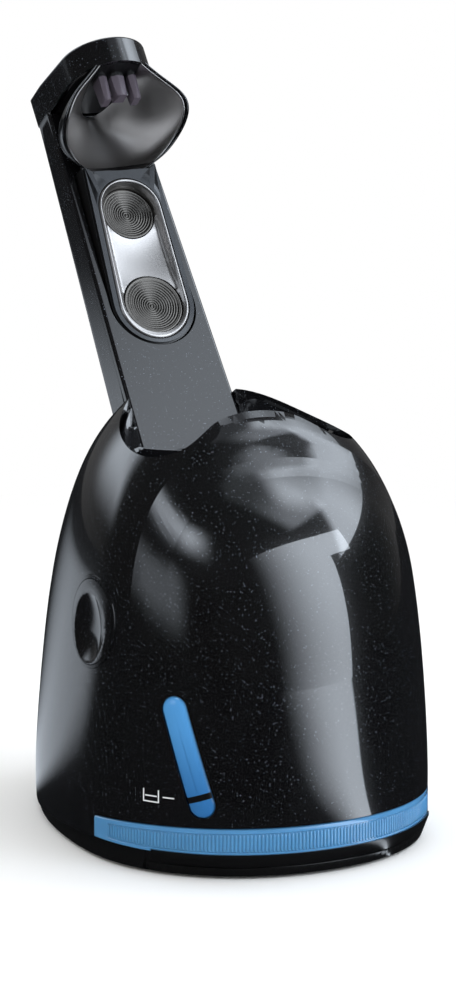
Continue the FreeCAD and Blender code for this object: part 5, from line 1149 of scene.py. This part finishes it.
def make_floor(scene):
    """Table top that runs out into white, and that glossy pieces see dark, as in a flagged studio."""
    corners = [(x * FLOOR_HALF, y * FLOOR_HALF, 0) for x, y in ((-1, -1), (1, -1), (1, 1), (-1, 1))]
    mesh = mesh_of("floor", corners, [(0, 1, 2, 3)], smooth=False)
    base = list(scene.station_colours.floor)
    material, tree, shader, coords = surface("matt_laminate", base, 0.7)
    apart = vector(tree, "LENGTH", links={0: coords}, output="Value")
    rays = add(tree, "ShaderNodeLightPath").outputs
    seen = calc(tree, "MULTIPLY", rays["Is Camera Ray"], ramp(tree, apart, *FLOOR_GONE, 0.0, 1.0))
    white = add(tree, "ShaderNodeEmission", values={"Strength": 1.0})
    joined = add(tree, "ShaderNodeMixShader", links={0: seen, 1: shader, 2: white})
    card = add(tree, "ShaderNodeEmission", values={"Color": LAMP_TINT},
               links={"Strength": pools(tree, coords, apart)})
    flagged = add(tree, "ShaderNodeMixShader",
                  links={0: rays["Is Glossy Ray"], 1: joined, 2: card})
    out = next(n for n in tree.nodes if n.type == "OUTPUT_MATERIAL")
    tree.links.new(flagged.outputs[0], out.inputs[0])
    made = bpy.data.objects.new("floor", mesh)
    mesh.materials.append(material)
    bpy.context.collection.objects.link(made)


def make_world(scene):
    """White backdrop for the eye, a dark room for the glossy pieces, plain light for the rest."""
    world = bpy.data.worlds.new("studio")
    scene.world = world
    world.use_nodes = True
    tree = world.node_tree
    tree.nodes.clear()
    coords = add(tree, "ShaderNodeTexCoord").outputs["Generated"]
    behind = vector(tree, "DOT_PRODUCT", {1: MIRROR_WAY}, {0: coords}, "Value")
    rays = add(tree, "ShaderNodeLightPath").outputs
    room = add(tree, "ShaderNodeBackground", values={"Color": ROOM_TINT, "Strength": ROOM_LIGHT})
    mirror = add(tree, "ShaderNodeBackground",
                 links={"Strength": ramp(tree, behind, 0.3, 1.0, *MIRROR_LIGHT)})
    white = add(tree, "ShaderNodeBackground", values={"Color": WHITE, "Strength": 1.0})
    shiny = calc(tree, "MAXIMUM", rays["Is Glossy Ray"], rays["Is Transmission Ray"])
    first = add(tree, "ShaderNodeMixShader", links={0: shiny, 1: room, 2: mirror})
    second = add(tree, "ShaderNodeMixShader",
                 links={0: rays["Is Camera Ray"], 1: first, 2: white})
    add(tree, "ShaderNodeOutputWorld", links={0: second})


def bearing(azimuth, elevation):
    """Unit vector in degrees; azimuth 0 is in front, positive to the right."""
    a, e = math.radians(azimuth), math.radians(elevation)
    return Vector((math.sin(a) * math.cos(e), -math.cos(a) * math.cos(e), math.sin(e)))


def aimed(name, data, target, way, distance):
    """Puts a lamp or a camera out from a target, turned towards it."""
    made = bpy.data.objects.new(name, data)
    made.location = Vector(target) + way * distance
    made.rotation_mode = "QUATERNION"
    made.rotation_quaternion = way.to_track_quat("Z", "Y")
    bpy.context.collection.objects.link(made)
    return made


def rise(way, low, high, first=0.0, last=1.0):
    """Fade of a lamp's light over a part of its face, from its left or from below."""
    return way, low, high, first, last


def fall(way, low, high, last=0.0):
    """Fade towards its right or its top."""
    return way, low, high, 1.0, last


def soft_edges(left, right, low, high):
    """Fades on all four edges of a lamp, up to or from these shares of its size."""
    return rise(ACROSS, 0.0, left), fall(ACROSS, right, 1.0), rise(UP, 0.0, low), fall(UP, high, 1.0)


def softbox(name, azimuth, elevation, distance, size, radiance, fades, target=LAMP_TARGET):
    """Area lamp at a bearing from the target."""
    data = bpy.data.lights.new(name, "AREA")
    data.shape = "RECTANGLE"
    data.size, data.size_y = size
    data.energy = radiance * math.pi * size[0] * size[1] * LAMP_GAIN
    made = aimed(name, data, target, bearing(azimuth, elevation), distance)
    made.visible_camera = False
    data.use_nodes = True
    tree = data.node_tree
    tree.nodes.clear()
    face = add(tree, "ShaderNodeNewGeometry").outputs["Parametric"]
    split = add(tree, "ShaderNodeSeparateXYZ", links={0: face})
    u, v = split.outputs[0], split.outputs[1]
    notched = calc(tree, "MINIMUM", calc(tree, "SUBTRACT", u, NOTCH[0]), calc(tree, "SUBTRACT", NOTCH[1], v))
    slanted = calc(tree, "SUBTRACT", u, calc(tree, "MULTIPLY", v, LAMP_SLANT))
    ways = {ACROSS: u, UP: v, NOTCHED: notched, SLANTED: slanted}
    strength = 1.0
    for way, *numbers in fades:
        strength = calc(tree, "MULTIPLY", ramp(tree, ways[way], *numbers), strength)
    glow = add(tree, "ShaderNodeEmission", values={"Color": LAMP_TINT}, links={"Strength": strength})
    add(tree, "ShaderNodeOutputLight", links={0: glow})


def make_lights():
    softbox("key_right", azimuth=25.0, elevation=22.0, distance=1.2, size=(1.5, 1.25), radiance=3.4,
            fades=(rise(ACROSS, 0.0, 0.68), rise(UP, 0.1, 0.6, first=0.84), fall(NOTCHED, 0.0, 0.004)))
    softbox("key_upper", azimuth=72.0, elevation=48.0, distance=1.2, size=(1.4, 0.665), radiance=2.9,
            fades=(rise(SLANTED, 0.16, 0.28), fall(ACROSS, 0.6, 1.0, last=0.35), fall(UP, 0.6, 1.0)))
    softbox("key_top", azimuth=86.0, elevation=62.0, distance=1.2, size=(0.66, 0.42), radiance=2.2,
            fades=soft_edges(0.5, 0.5, 0.5, 0.6))
    softbox("tower_top", azimuth=48.0, elevation=57.0, distance=0.5, size=(0.3, 0.4), radiance=1.15,
            fades=(rise(ACROSS, 0.0, 0.3), fall(ACROSS, 0.8, 1.0), rise(UP, 0.22, 0.3),
                   fall(UP, 0.3, 0.8, last=0.15)), target=(0, 0.033, 0.185))
    softbox("hood_front", azimuth=-50.0, elevation=26.0, distance=0.5, size=(0.3, 0.26), radiance=2.5,
            fades=soft_edges(0.5, 0.5, 0.5, 0.5), target=(0.008, 0.082, 0.238))
    softbox("left_wall", azimuth=-157.0, elevation=27.0, distance=1.2, size=(0.9, 1.0), radiance=1.3,
            fades=(rise(ACROSS, 0.0, 0.4), fall(ACROSS, 0.7, 1.0, last=0.1), rise(UP, 0.0, 0.35)))
    softbox("left_soft", azimuth=-80.0, elevation=14.0, distance=1.3, size=(0.85, 0.6), radiance=0.55,
            fades=soft_edges(0.4, 0.6, 0.4, 0.6))
    softbox("top_rear", azimuth=170.0, elevation=62.0, distance=1.3, size=(1.0, 0.8), radiance=0.8,
            fades=(rise(ACROSS, 0.0, 0.3), fall(ACROSS, 0.7, 1.0)))


def make_camera(scene):
    """Long lens from the front left, a little above the object."""
    data = bpy.data.cameras.new("camera")
    data.sensor_width = EYE_SENSOR
    data.lens = EYE_LENS * data.sensor_width
    data.shift_x, data.shift_y = EYE_SHIFT
    target = (0, SHIFT * MM, EYE_TARGET)
    scene.camera = aimed("camera", data, target, bearing(EYE_AZIMUTH, EYE_ELEVATION), EYE_DISTANCE)


class STATION_PT_panel(bpy.types.Panel):
    """Lists the station's sizes, colours and pieces"""
    bl_label = "Shaver cleaning station"
    bl_idname = "STATION_PT_panel"
    bl_space_type = "VIEW_3D"
    bl_region_type = "UI"
    bl_category = "Station"

    def draw(self, context):
        layout = self.layout
        for group in (context.scene.station_colours, context.scene.station_sizes):
            for key in group.bl_rna.properties.keys():
                if key not in ("rna_type", "name"):
                    layout.prop(group, key)
        for operator in OPERATORS:
            layout.operator(operator.bl_idname)


OPERATORS = (STATION_OT_finishes, STATION_OT_housing, STATION_OT_springs, STATION_OT_tower, STATION_OT_hood,
             STATION_OT_bezel, STATION_OT_push_buttons, STATION_OT_grip_strip, STATION_OT_level_window,
             STATION_OT_stage)
CLASSES = (StationColours, StationSizes, *OPERATORS, STATION_PT_panel)


def register():
    for item in CLASSES:
        bpy.utils.register_class(item)
    bpy.types.Scene.station_colours = bpy.props.PointerProperty(type=StationColours)
    bpy.types.Scene.station_sizes = bpy.props.PointerProperty(type=StationSizes)


def unregister():
    del bpy.types.Scene.station_sizes
    del bpy.types.Scene.station_colours
    for item in reversed(CLASSES):
        bpy.utils.unregister_class(item)


def main():
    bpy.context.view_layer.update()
    register()
    for operator in OPERATORS:
        group, name = operator.bl_idname.split(".")
        getattr(getattr(bpy.ops, group), name)()


if __name__ == "__main__":
    main()
